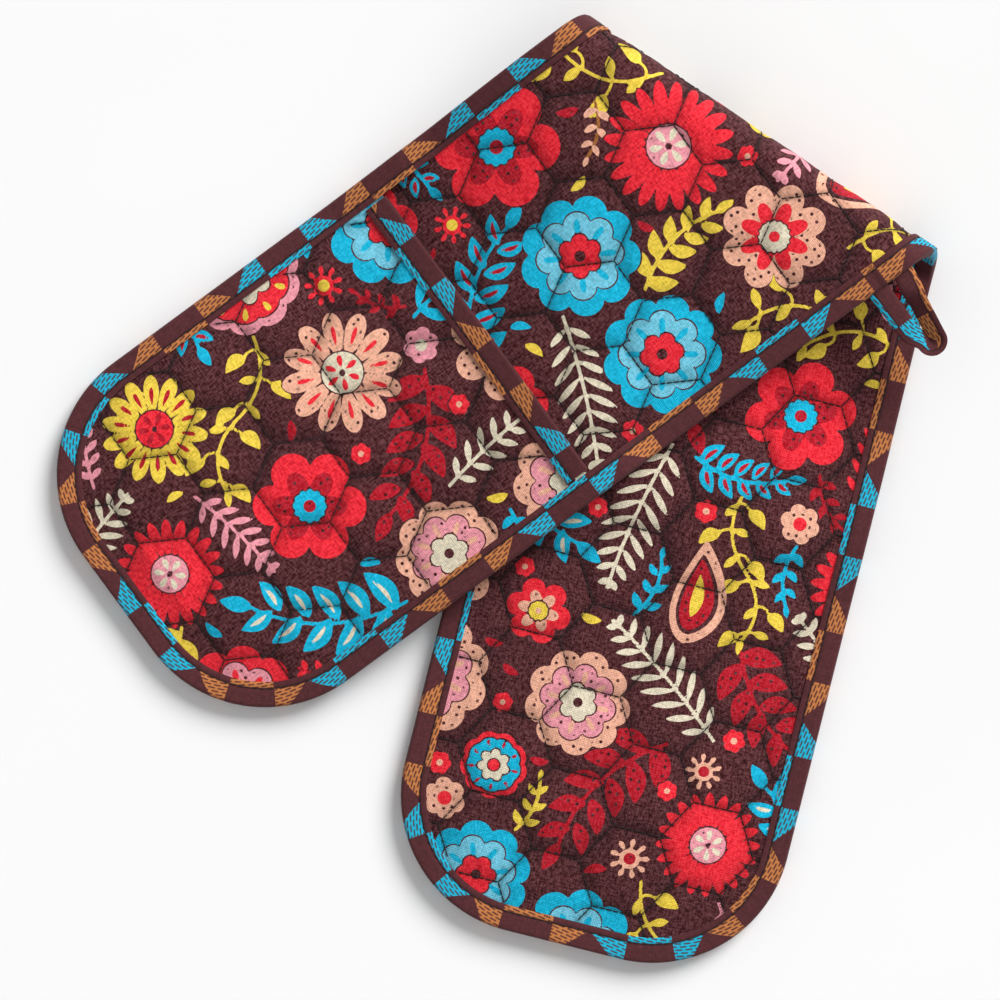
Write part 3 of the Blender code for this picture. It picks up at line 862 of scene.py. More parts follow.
@dataclass
class Motif:
    """One printed ornament, drawn in its own axes on the points near it."""

    film: "Print"
    near: Array
    x: Array
    y: Array

    def put(self, ink: Fill, inside: Array, halo: float = 0.0) -> None:
        """Prints a shape over what is there; None lets the ground show.

        Args:
            ink: the colour.
            inside: distance inside the shape at each near point, negative outside it.
            halo: width of bare ground kept round the shape.
        """
        if halo:
            self.film.put(None, self.near, inside + halo)
        self.film.put(ink, self.near, inside)

    def polar(self, turn: float = 0.0) -> tuple[Array, Array]:
        """Distance from the middle, and angle."""
        return np.hypot(self.x, self.y), np.arctan2(self.y, self.x) + turn

    def sector(self, count: int, turn: float = 0.0) -> tuple[Array, Array]:
        """Axes of the nearest of equally spaced spokes: along the spoke, and aside from it.

        Args:
            count: number of spokes.
            turn: turn of the first one.

        Returns:
            Distances along the spoke, and aside from it.
        """
        r, angle = self.polar(turn)
        step = math.tau / count
        angle = (angle + step / 2) % step - step / 2
        return r * np.cos(angle), r * np.sin(angle)

    def disc(self, ink: Fill, radius: float, x: float = 0.0, y: float = 0.0, halo: float = 0.0) -> None:
        """Prints a filled circle."""
        self.put(ink, radius - np.hypot(self.x - x, self.y - y), halo)

    def scallop(self, ink: Fill, radius: float, count: int, depth: float, point: float,
                turn: float = 0.0, halo: float = 0.0) -> None:
        """Prints a round with lobes.

        Args:
            ink: the colour.
            radius: distance of the lobes' tips.
            count: number of lobes.
            depth: share of the radius that is cut between lobes.
            point: 1 for pointed lobes, less for round ones.
            turn: turn of the first lobe.
            halo: width of bare ground kept round it.
        """
        r, angle = self.polar(turn)
        wave = np.abs(np.cos(angle * count / 2)) ** point
        self.put(ink, (radius * (1 - depth + depth * wave) - r) * ROUND_SLOPE, halo)

    def petals(self, ink: Fill, inner: float, outer: float, half: float, count: int,
               turn: float = 0.0, halo: float = 0.0) -> None:
        """Prints separate drop-shaped petals round a centre.

        Args:
            ink: the colour.
            inner: distance at which they start.
            outer: distance of their tips.
            half: half of their greatest width.
            count: number of petals.
            turn: turn of the first one.
            halo: width of bare ground kept round them.
        """
        u, v = self.sector(count, turn)
        share = clamp((u - inner) / (outer - inner))
        wide = half * np.sin(math.pi * share ** PETAL_BELLY) ** PETAL_ROUND
        self.put(ink, np.minimum(wide - np.abs(v), np.minimum(u - inner, outer - u)) * PETAL_SLOPE, halo)

    def stem(self, ink: Ink, places: Sequence[Spot], half: float = STEM) -> None:
        """Prints a curved line through a start, a bend and a finish.

        Args:
            ink: the colour.
            places: its start, the point that it bends towards and its finish.
            half: half of its width.
        """
        (x0, y0), (x1, y1), (x2, y2) = places
        best = np.full(self.x.shape, 1.0)
        t = np.linspace(0, 1, 13)
        px = x0 * (1 - t) ** 2 + 2 * x1 * t * (1 - t) + x2 * t * t
        py = y0 * (1 - t) ** 2 + 2 * y1 * t * (1 - t) + y2 * t * t
        for ax, ay, bx, by in zip(px, py, px[1:], py[1:]):
            dx, dy = bx - ax, by - ay
            share = clamp(((self.x - ax) * dx + (self.y - ay) * dy) / (dx * dx + dy * dy))
            best = np.minimum(best, np.hypot(self.x - ax - dx * share, self.y - ay - dy * share))
        self.put(ink, half - best)

    def leaf(self, ink: Fill, x: float, y: float, turn: float, length: float, wide: float,
             bend: float = 0.0, belly: float = 0.85) -> None:
        """Prints a pointed leaf.

        Args:
            ink: the colour.
            x: place of its root.
            y: place of its root.
            turn: the way it points.
            length: from root to tip.
            wide: greatest width.
            bend: how far its middle bows aside.
            belly: less than 1 puts the widest place nearer the root.
        """
        u = (self.x - x) * math.cos(turn) + (self.y - y) * math.sin(turn)
        v = (self.y - y) * math.cos(turn) - (self.x - x) * math.sin(turn)
        share = clamp(u / length)
        v = v - bend * 4 * share * (1 - share)
        half = wide / 2 * np.sin(math.pi * share ** belly) ** LEAF_ROUND
        self.put(ink, np.minimum(half - np.abs(v), np.minimum(u, length - u)) * LEAF_SLOPE)


@dataclass
class Print:
    """Where each ink lies on a piece of cloth, as signed distances from its edges."""

    u: Array
    v: Array
    trap: float = 0.0002
    film: Array = field(init=False)

    def __post_init__(self) -> None:
        """Starts with bare cloth."""
        self.film = np.full((len(self.u), len(INKS)), FAR)

    def put(self, ink: Fill, near: Array, inside: Array) -> None:
        """Prints a shape and takes every other ink away under it.

        Args:
            ink: the colour, or None for bare ground.
            near: numbers of the points near the shape.
            inside: distance inside the shape at each of them, negative outside it.
        """
        film = self.film[near]
        cut = np.minimum(film, self.trap - inside[:, None])
        if ink is not None:
            k = INKS.index(ink)
            cut[:, k] = np.maximum(film[:, k], inside)
        self.film[near] = np.maximum(cut, FAR)

    def motif(self, u: float, v: float, turn: float, reach: float) -> Motif:
        """The axes of a motif and the points that it can reach.

        Args:
            u: its place along the cloth.
            v: its place across the cloth.
            turn: its turn.
            reach: how far it can reach.

        Returns:
            The ornament, with nothing drawn yet.
        """
        near = np.flatnonzero((np.abs(self.u - u) < reach) & (np.abs(self.v - v) < reach))
        dx, dy = self.u[near] - u, self.v[near] - v
        x = dx * math.cos(turn) + dy * math.sin(turn)
        y = dy * math.cos(turn) - dx * math.sin(turn)
        return Motif(self, near, x, y)

    def layers(self) -> list[Array]:
        """The film's distances in threes, as the attributes hold them."""
        return [self.film[:, i : i + 3] for i in range(0, len(INKS), 3)]


# The ornaments. A number in them that has no name is a share of the ornament's size, an angle,
# a count, or a shape that Motif's own functions explain.


def branch(m: Motif, size: float, stem: Ink, leaf: Ink, vein: Fill, pairs: int = 5) -> None:
    """A long bent stem with broad leaves on both sides and one at its tip.

    Args:
        m: the axes that it is drawn in.
        size: its radius, or half its length.
        stem: ink of the stem.
        leaf: ink of the leaves.
        vein: ink of their veins, or None.
        pairs: number of pairs of leaves.
    """
    bend = size * 0.20
    line = ((-size, -bend * 0.4), (-size * 0.1, bend * 1.9), (size * 0.72, -bend * 0.2))
    m.stem(stem, line, BRANCH_STEM)
    for i in range(pairs):
        share = (i + 0.6) / (pairs + 0.4)
        x = -size + size * 1.70 * share
        y = bend * (3.6 * share * (1 - share) - 0.35)
        long = size * (0.56 - 0.20 * share)
        for hand in (1, -1):
            turn = hand * (1.02 - 0.30 * share) + (0.45 - share) * 0.5
            foot = x - 0.045 * size * (1 - hand)
            m.leaf(leaf, foot, y, turn, long, long * 0.46, hand * long * 0.07)
            if vein and long > VEINED_LEAF:
                tip_x, tip_y = math.cos(turn) * long, math.sin(turn) * long
                vein_x, vein_y = foot + tip_x * 0.16, y + tip_y * 0.16
                m.leaf(vein, vein_x, vein_y, turn, long * 0.64, VEIN, hand * long * 0.05)
    m.leaf(leaf, size * 0.66, -bend * 0.1, -0.2, size * 0.36, size * 0.17)


def vine(m: Motif, size: float, stem: Ink, leaf: Ink) -> None:
    """A wavy thin stem with stalked leaves.

    Args:
        m: the axes that it is drawn in.
        size: its radius, or half its length.
        stem: ink of the stem.
        leaf: ink of the leaves.
    """
    m.stem(stem, ((-size, 0.0), (-size * 0.5, size * 0.34), (0.0, 0.0)))
    m.stem(stem, ((0.0, 0.0), (size * 0.45, -size * 0.30), (size * 0.86, size * 0.04)))
    count = 6
    for i in range(count):
        share = (i + 0.5) / count
        x = -size + 1.9 * size * share
        y = size * 0.165 * math.sin(share * math.tau)
        hand = 1 if i % 2 else -1
        turn = hand * 1.15 + 0.2
        foot_x, foot_y = x + size * 0.16 * math.cos(turn), y + size * 0.16 * math.sin(turn)
        m.stem(stem, ((x, y), (x, y + hand * size * 0.10), (foot_x, foot_y)), STALK)
        bow = hand * size * 0.03
        m.leaf(leaf, foot_x, foot_y, turn - hand * 0.3, size * 0.30, size * 0.17, bow, 0.7)
        m.leaf(leaf, x, y, -turn * 0.9, size * 0.24, size * 0.10, 0.0, 1.2)
    m.leaf(leaf, size * 0.82, size * 0.03, 0.3, size * 0.22, size * 0.09)


def fern(m: Motif, size: float, stem: Ink, leaf: Ink) -> None:
    """A straight rib with many narrow leaflets.

    Args:
        m: the axes that it is drawn in.
        size: its radius, or half its length.
        stem: ink of the stem.
        leaf: ink of the leaves.
    """
    m.stem(stem, ((-size, 0.0), (0.0, size * 0.10), (size * 0.9, 0.0)))
    count = max(5, round(size / LEAFLET_PITCH))
    for i in range(count):
        share = (i + 0.7) / count
        x = -size + 1.85 * size * share
        y = size * 0.19 * share * (1 - share)
        long = size * 0.40 * math.sin(math.pi * (0.18 + 0.76 * share)) + SHORT_LEAFLET
        for hand in (1, -1):
            m.leaf(leaf, x, y, hand * 0.92, long, LEAFLET, 0.0, 1.1)


def daisy(m: Motif, size: float, petal: Ink, eye: Ink, dot: Ink, count: int = 12) -> None:
    """A daisy of long separate petals with a star in its eye; narrow petals have no mark on them.

    Args:
        m: the axes that it is drawn in.
        size: its radius, or half its length.
        petal: ink of the petals.
        eye: ink of the middle.
        dot: ink of the small marks.
        count: number of petals.
    """
    m.petals(petal, size * 0.20, size, size * 1.98 / count, count, 0.0, HALO)
    if count < MANY_PETALS:
        m.petals(dot, size * 0.42, size * 0.78, PETAL_MARK, count)
    m.disc(eye, size * 0.34, halo=HALO)
    m.petals(dot, size * 0.06, size * 0.30, size * 0.055, 6)
    m.disc(None, size * 0.06)


def blossom(m: Motif, size: float, petal: Ink, shade: Ink, eye: Ink, count: int = 6) -> None:
    """A blossom of broad petals, shaded towards its middle.

    Args:
        m: the axes that it is drawn in.
        size: its radius, or half its length.
        petal: ink of the petals.
        shade: ink nearer the middle.
        eye: ink of the middle.
        count: number of petals.
    """
    m.scallop(petal, size, count, 0.36, 0.5, 0.0, HALO)
    m.scallop(shade, size * 0.66, count, 0.52, 0.9)
    m.scallop(eye, size * 0.30, count * 2, 0.20, 0.6, 0.0, HALO)
    m.disc(shade, size * 0.11)


def medallion(m: Motif, size: float, rim: Ink, band: Ink, heart: Ink, dot: Ink, count: int = 14) -> None:
    """A scalloped round with two bands and a small flower in the middle.

    Args:
        m: the axes that it is drawn in.
        size: its radius, or half its length.
        rim: ink of the outer round.
        band: ink of the band in it.
        heart: ink of the middle.
        dot: ink of the small marks.
        count: number of petals.
    """
    m.scallop(rim, size, count, 0.13, 0.5, 0.0, HALO)
    m.scallop(band, size * 0.80, count, 0.10, 0.5, 0.0, HALO)
    m.petals(dot, size * 0.52, size * 0.76, size * 0.052, count)
    m.scallop(heart, size * 0.48, 7, 0.36, 0.7, 0.0, HALO)
    m.disc(rim, size * 0.17, halo=HALO)


def peony(m: Motif, size: float, outer: Ink, inner: Ink, heart: Ink) -> None:
    """A full flower of three whorls of round petals.

    Args:
        m: the axes that it is drawn in.
        size: its radius, or half its length.
        outer: ink of the outer petals.
        inner: ink of the inner part.
        heart: ink of the middle.
    """
    m.scallop(outer, size, 9, 0.20, 0.5, 0.0, HALO)
    m.scallop(inner, size * 0.72, 8, 0.26, 0.5, 0.3, HALO)
    m.petals(outer, size * 0.24, size * 0.62, size * 0.060, 8, 0.3)
    m.scallop(heart, size * 0.36, 6, 0.30, 0.6, 0.1, HALO)
    m.disc(None, size * 0.10)


def tulip(m: Motif, size: float, cup: Ink, inner: Ink, stem: Ink) -> None:
    """A side view of a tulip with two long leaves.

    Args:
        m: the axes that it is drawn in.
        size: its radius, or half its length.
        cup: ink of the outer petals.
        inner: ink of the inner part.
        stem: ink of the stem.
    """
    line = ((-size, -size * 0.1), (-size * 0.4, size * 0.12), (size * 0.1, 0.0))
    m.stem(stem, line, TULIP_STEM)
    m.leaf(stem, -size * 0.86, 0.0, 0.55, size * 0.90, size * 0.20, size * 0.10)
    m.leaf(stem, -size * 0.86, 0.0, -0.60, size * 0.80, size * 0.20, -size * 0.10)
    m.leaf(inner, size * 0.02, 0.0, 0.0, size * 0.94, size * 0.40)
    for hand in (1, -1):
        bow = -hand * size * 0.10
        m.leaf(None, 0.0, hand * size * 0.02, hand * 0.36, size * 0.96, size * 0.46, bow, 0.7)
        m.leaf(cup, size * 0.02, hand * size * 0.04, hand * 0.38, size * 0.90, size * 0.38, bow, 0.7)
    m.disc(cup, size * 0.15, size * 0.08, 0.0)


def drop(m: Motif, size: float, body: Ink, inner: Ink, heart: Ink) -> None:
    """A curled drop with smaller ones inside it.

    Args:
        m: the axes that it is drawn in.
        size: its radius, or half its length.
        body: ink of the largest drop.
        inner: ink of the inner part.
        heart: ink of the middle.
    """
    m.leaf(body, -size, 0.0, 0.12, size * 1.9, size * 0.98, size * 0.12, 0.72)
    m.leaf(None, -size * 0.84, size * 0.02, 0.12, size * 1.50, size * 0.74, size * 0.10, 0.72)
    m.leaf(inner, -size * 0.76, size * 0.03, 0.12, size * 1.32, size * 0.58, size * 0.09, 0.72)
    m.leaf(heart, -size * 0.52, size * 0.08, 0.12, size * 0.82, size * 0.24, size * 0.05, 0.8)


def seed_head(m: Motif, size: float, rim: Ink, heart: Ink) -> None:
    """A small round with short rays.

    Args:
        m: the axes that it is drawn in.
        size: its radius, or half its length.
        rim: ink of the outer round.
        heart: ink of the middle.
    """
    m.petals(rim, size * 0.45, size, size * 0.13, 9, 0.0, HALO)
    m.disc(rim, size * 0.50)
    m.disc(heart, size * 0.30)


def small_flower(m: Motif, size: float, petal: Ink, eye: Ink) -> None:
    """A small round-petalled flower."""
    m.scallop(petal, size, 6, 0.28, 0.5, 0.0, HALO)
    m.disc(eye, size * 0.34)


def lone_leaf(m: Motif, size: float, leaf: Ink) -> None:
    """One bent leaf."""
    m.leaf(leaf, -size, 0.0, 0.2, size * 2.0, size * 0.80, size * 0.20)


Recipe = tuple[Callable[..., None], tuple[Ink | int | None, ...]]

# Circles that cover a long ornament: places along it and radii, as shares of half its length.
LONG_PLACES = (-0.78, -0.30, 0.22, 0.72)
LONG_RADII = (0.24, 0.40, 0.36, 0.24)


@dataclass(frozen=True)
class Rank:
    """Ornaments of one size, tried together.

    Args:
        size: radius of a round ornament, or half the length of a long one.
        tries: how often a place is drawn for it.
        long: True where the ornament is long and narrow.
        overlap: how far it may reach under the ornaments that are there already.
        kinds: what is drawn, with its inks and, for some, the number of its petals or leaves.
    """

    size: float
    tries: int
    long: bool
    overlap: float
    kinds: tuple[Recipe, ...]

    def footprint(self, size: float, turn: float) -> Array:
        """Circles that cover the ornament, as rows of x, y and radius.

        Args:
            size: its radius, or half its length.
            turn: its turn.

        Returns:
            A row for each circle.
        """
        if not self.long:
            return np.array([[0.0, 0.0, size]])
        at = np.array(LONG_PLACES) * size
        wide = np.array(LONG_RADII) * size
        return np.stack([at * math.cos(turn), at * math.sin(turn), wide], axis=1)


RANKS = (
    Rank(0.0285, 90, False, 0.0, (
        (daisy, (Ink.RED, Ink.PINK, Ink.CREAM, 20)),
        (peony, (Ink.PEACH, Ink.PINK, Ink.CREAM)),
        (blossom, (Ink.RED, Ink.CRIMSON, Ink.BLUE)),
        (daisy, (Ink.PEACH, Ink.CREAM, Ink.RED)),
        (medallion, (Ink.PEACH, Ink.CRIMSON, Ink.YELLOW, Ink.BLUE)),
        (daisy, (Ink.YELLOW, Ink.RED, Ink.CRIMSON, 14)),
        (peony, (Ink.RED, Ink.PINK, Ink.CREAM)),
        (blossom, (Ink.PEACH, Ink.RED, Ink.CREAM, 8)),
        (peony, (Ink.BLUE, Ink.SKY, Ink.RED)),
        (medallion, (Ink.PINK, Ink.RED, Ink.CREAM, Ink.YELLOW, 10)),
    )),
    Rank(0.0440, 1400, True, 0.0050, (
        (branch, (Ink.BLUE, Ink.BLUE, Ink.CREAM)),
        (vine, (Ink.YELLOW, Ink.YELLOW)),
        (branch, (Ink.BLUE, Ink.BLUE, Ink.CRIMSON)),
        (fern, (Ink.CREAM, Ink.CREAM)),
        (vine, (Ink.YELLOW, Ink.YELLOW)),
        (branch, (Ink.CRIMSON, Ink.CRIMSON, None)),
    )),
    Rank(0.0175, 1100, False, 0.0, (
        (blossom, (Ink.PINK, Ink.RED, Ink.CREAM, 5)),
        (daisy, (Ink.PEACH, Ink.CREAM, Ink.RED)),
        (peony, (Ink.YELLOW, Ink.RED, Ink.CREAM)),
        (blossom, (Ink.RED, Ink.PEACH, Ink.YELLOW)),
        (medallion, (Ink.RED, Ink.BLUE, Ink.CREAM, Ink.CRIMSON, 9)),
        (blossom, (Ink.PEACH, Ink.OCHRE, Ink.RED, 7)),
        (peony, (Ink.PINK, Ink.CRIMSON, Ink.PEACH)),
    )),
    Rank(0.0300, 4000, True, 0.0040, (
        (fern, (Ink.CREAM, Ink.CREAM)),
        (branch, (Ink.YELLOW, Ink.YELLOW, None)),
        (branch, (Ink.BLUE, Ink.BLUE, Ink.CRIMSON)),
        (fern, (Ink.CRIMSON, Ink.RED)),
        (tulip, (Ink.RED, Ink.PEACH, Ink.BLUE)),
        (fern, (Ink.PINK, Ink.PINK)),
        (drop, (Ink.PEACH, Ink.CRIMSON, Ink.YELLOW)),
    )),
    Rank(0.0098, 5000, False, 0.0, (
        (small_flower, (Ink.PEACH, Ink.RED)),
        (seed_head, (Ink.RED, Ink.YELLOW)),
        (small_flower, (Ink.PINK, Ink.CREAM)),
        (small_flower, (Ink.YELLOW, Ink.CRIMSON)),
        (seed_head, (Ink.PEACH, Ink.CRIMSON)),
    )),
    Rank(0.0165, 7000, True, 0.0015, (
        (branch, (Ink.BLUE, Ink.BLUE, None, 3)),
        (branch, (Ink.CRIMSON, Ink.CRIMSON, None, 3)),
        (branch, (Ink.YELLOW, Ink.YELLOW, None, 3)),
        (fern, (Ink.PINK, Ink.PINK)),
        (branch, (Ink.OCHRE, Ink.PEACH, None, 3)),
    )),
    Rank(0.0055, 9000, False, 0.0, (
        (lone_leaf, (Ink.BLUE,)),
        (small_flower, (Ink.RED, Ink.PEACH)),
        (lone_leaf, (Ink.YELLOW,)),
        (lone_leaf, (Ink.CRIMSON,)),
    )),
)


# A circle far off the cloth, which starts the list of taken places.
FAR_OFF = (9.0, 9.0, 0.0)

# Low and high corners of what is printed for a pocket and for the strip.
POCKET_AREA = ((-0.01, -0.10), (0.225, 0.10))
STRIP_AREA = ((-0.39, -0.10), (0.41, 0.10))


@dataclass(frozen=True)
class Scatter:
    """A strewn layout: flowers of a few sizes, with branches that reach in under them."""

    seed: int
    low: Spot
    high: Spot
    space: float = 0.0012
    smallest: float = 0.88
    largest: float = 1.08
    reach: float = 1.3

    def places(self) -> list[tuple[Rank, int, float, float, float, float]]:
        """The rank, kind, place, size and turn of each ornament.

        Returns:
            A row for each, in the order in which they found a place.
        """
        draw = np.random.default_rng(self.seed)
        taken = np.array([FAR_OFF])
        found = []
        for rank in RANKS:
            kind = int(draw.integers(0, len(rank.kinds)))
            for _ in range(rank.tries):
                u = draw.uniform(self.low[0], self.high[0])
                v = draw.uniform(self.low[1], self.high[1])
                size = rank.size * draw.uniform(self.smallest, self.largest)
                turn = draw.uniform(0, math.tau)
                own = rank.footprint(size, turn) + [u, v, 0.0]
                apart = np.hypot(*(taken[:, None, :2] - own[None, :, :2]).T)
                free = apart - own[:, None, 2] - taken[None, :, 2]
                if free.min() < self.space - rank.overlap:
                    continue
                taken = np.vstack([taken, own])
                kind += 1
                found.append((rank, kind % len(rank.kinds), u, v, size, turn))
        return found

    def print_on(self, u: Array, v: Array) -> Print:
        """Prints the layout on the given places of a cloth, the round flowers last.

        Args:
            u: places along the cloth.
            v: places across the cloth.

        Returns:
            The printed film.
        """
        film = Print(u, v)
        found = sorted(self.places(), key=lambda item: not item[0].long)
        for rank, kind, at_u, at_v, size, turn in found:
            m = film.motif(at_u, at_v, turn, size * self.reach)
            if len(m.near):
                draw, inks = rank.kinds[kind]
                draw(m, size, *inks)
        return film


@dataclass
class Weft:
    """What every cloth piece shares: the glove's sizes, wrinkles and the mesh step."""

    glove: Glove
    step: float = 0.00125
    puckers: Creases = Creases(0.0055, 0.0105)
    billows: Creases = Creases(0.024, 0.060, waves=9, seed=11)
    billow_share: float = 0.32
    pucker_share: float = 0.18
    pucker_height: float = 0.00056
    pucker_reach: float = 0.0065
    seam_clear: float = 0.0012
    seam_dip: float = 0.0007
    seam_reach: float = 0.0042
    thinnest: float = 0.0005

    def shrink(self, u: Array, v: Array, away: Array, seed: float) -> Array:
        """How much thinner than full the padding is at each place, as a share.

        Args:
            u: places along the cloth.
            v: places across the cloth.
            away: distances from the nearest stitched side.
            seed: shifts the waves, so that no two faces look alike.

        Returns:
            The shares.
        """
        wrinkle = self.puckers.at(u + seed, v) * np.exp(-away / self.pucker_reach)
        billow = 0.5 * (1 + self.billows.at(u, v + seed))
        return billow * self.billow_share + np.abs(wrinkle) * self.pucker_share

    def wrinkle(self, u: Array, v: Array, away: Array, seed: float) -> Array:
        """Height of the small wrinkles that run out from the seams, and of the dip along each seam.

        Args:
            u: places along the cloth.
            v: places across the cloth.
            away: distances from the nearest stitched side.
            seed: shifts the waves, so that no two faces look alike.

        Returns:
            The heights, in metres.
        """
        near = np.exp(-away / self.pucker_reach) * clamp(away / self.seam_clear)
        dip = self.seam_dip * np.exp(-((away / self.seam_reach) ** 2))
        return self.pucker_height * self.puckers.at(u + seed, v - seed) * near - dip

    def grid(self, side: Side, mouth: bool) -> tuple[Array, Array]:
        """The cloth's grid, in rows from the rounded end on.

        Args:
            side: the arm.
            mouth: True for a pocket panel, False for the strip up to the middle of the fold.

        Returns:
            Distances from the rounded end, and from the centre line.
        """
        g = self.glove
        radius = g.corner_radius
        t = np.linspace(-1, 1, math.ceil(g.width / self.step) + 1)[None, :]
        turns = math.ceil(radius * math.pi / 2 / self.step)
        turn = (math.pi / 2 * np.arange(turns) / turns)[:, None]
        half = g.half_width - radius * (1 - np.sin(turn))
        rounded = np.broadcast_arrays(radius * (1 - np.cos(turn)), t * half)
        across = t * g.half_width
        count = math.ceil(((g.pocket_depth if mouth else g.arm_length(side)) - radius) / self.step)
        share = (np.arange(count + 1) / count)[:, None]
        last = g.pocket_depth if mouth else g.end_at(side, 0.0, across)
        straight = np.broadcast_arrays(radius + (last - radius) * share, across)
        return np.concatenate([rounded[0], straight[0]]), np.concatenate([rounded[1], straight[1]])

    def values(self, u: Array, v: Array, away: Array, layout: Scatter) -> dict[str, Array]:
        """What the cloth's material reads: flat place, distance from a seam and the inks.

        Args:
            u: flat places along the cloth.
            v: flat places across the cloth.
            away: distances from the nearest stitched side.
            layout: what is printed.

        Returns:
            Grids of three numbers by attribute name.
        """
        found = {"cloth": np.stack([u, v, away], axis=-1)}
        film = layout.print_on(u.ravel(), v.ravel())
        for i, three in enumerate(film.layers()):
            found[f"inks_{i + 1}"] = three.reshape(*u.shape, 3)
        return found


@dataclass
class Strip:
    """The quilted strip: two halves that meet at the middle of the fold."""

    weft: Weft
    front_print: Scatter = Scatter(41, *STRIP_AREA)
    back_print: Scatter = Scatter(67, *STRIP_AREA)
    stretch: float = 0.75
    stretch_run: float = 1.5
    stretch_fill: float = 0.85
    shrink_shift: float = 0.5
    wrinkle_shift: float = 0.3

    def along(self, side: Side, end: Array) -> Array:
        """Place along the whole strip, from its middle."""
        return side.value * (self.weft.glove.arm_length(side) - end)

    def half(self, side: Side, end: Array, across: Array, face: Face) -> tuple[Array, Array]:
        """Distance of one face from the middle surface, and from the nearest seam.

        Args:
            side: the arm.
            end: distances from the rounded end.
            across: distances from the centre line.
            face: the face.

        Returns:
            The two distances, in metres.
        """
        g, w = self.weft.glove, self.weft
        away = g.quilting(side).seam_distance(end, across)
        u = self.along(side, end)
        rise = g.rise(end, across)
        thick = g.strip_half(side, end, across)
        slack = w.shrink(u, across, away, face.value * self.shrink_shift) * rise
        thick = thick - np.maximum(thick - g.strip_edge, 0) * slack
        thick = thick + w.wrinkle(u, across, away, face.value * self.wrinkle_shift) * rise
        if face is Face.FRONT:
            _, over = g.fold_coordinates(side, end, across)
            taut = self.stretch * (1 - smooth(np.abs(over) / (g.half_turn * self.stretch_run)))
            full = g.strip_edge + (g.strip_puff - g.strip_edge) * rise * self.stretch_fill
            thick = thick + (full - thick) * taut
        return np.maximum(thick, w.thinnest), away

    def quilt(self, side: Side, name: str, nodes: Sequence[str]) -> bpy.types.Object:
        """Builds one half of the strip as a closed pad.

        Args:
            side: the arm that it belongs to.
            name: the piece's name.
            nodes: the CAD nodes that it stands for.

        Returns:
            The piece.
        """
        g, w = self.weft.glove, self.weft
        end, across = w.grid(side, mouth=False)
        u = self.along(side, end)
        faces, readings = [], []
        for face, layout in ((Face.FRONT, self.front_print), (Face.BACK, self.back_print)):
            thick, away = self.half(side, end, across, face)
            faces.append(g.place(side, end, across, face.value * thick))
            readings.append(w.values(u, across, away, layout))
        return build_pad(name, faces, readings, nodes)

    def stitches(self, side: Side, name: str) -> bpy.types.Object:
        """Builds the quilting stitches on both faces of one half.

        Args:
            side: the arm.
            name: the piece's name.

        Returns:
            The piece.
        """
        g, seam = self.weft.glove, QUILT_STITCH
        far = g.arm_length(side) + g.half_width
        start, finish = seam.on_hexagons(g.quilting(side), far, g.half_width)
        middle = (start + finish) / 2
        _, over = g.fold_coordinates(side, *middle.T)
        own = side.value * over > seam.length / 3
        clear = g.edge_distance(*middle.T) > g.tape_width + seam.length / 2
        keep = own & clear & (middle[:, 0] > 0)
        inner = g.place(side, *middle[keep].T, 0.0)
        runs = []
        for face in Face:
            ends = []
            for flat in (start[keep].T, finish[keep].T):
                thick, _ = self.half(side, *flat, face)
                ends.append(g.place(side, *flat, face.value * thick))
            runs.append((*ends, g.place(side, *middle[keep].T, face.value * MILLIMETRE) - inner))
        return seam.sew(name, runs)


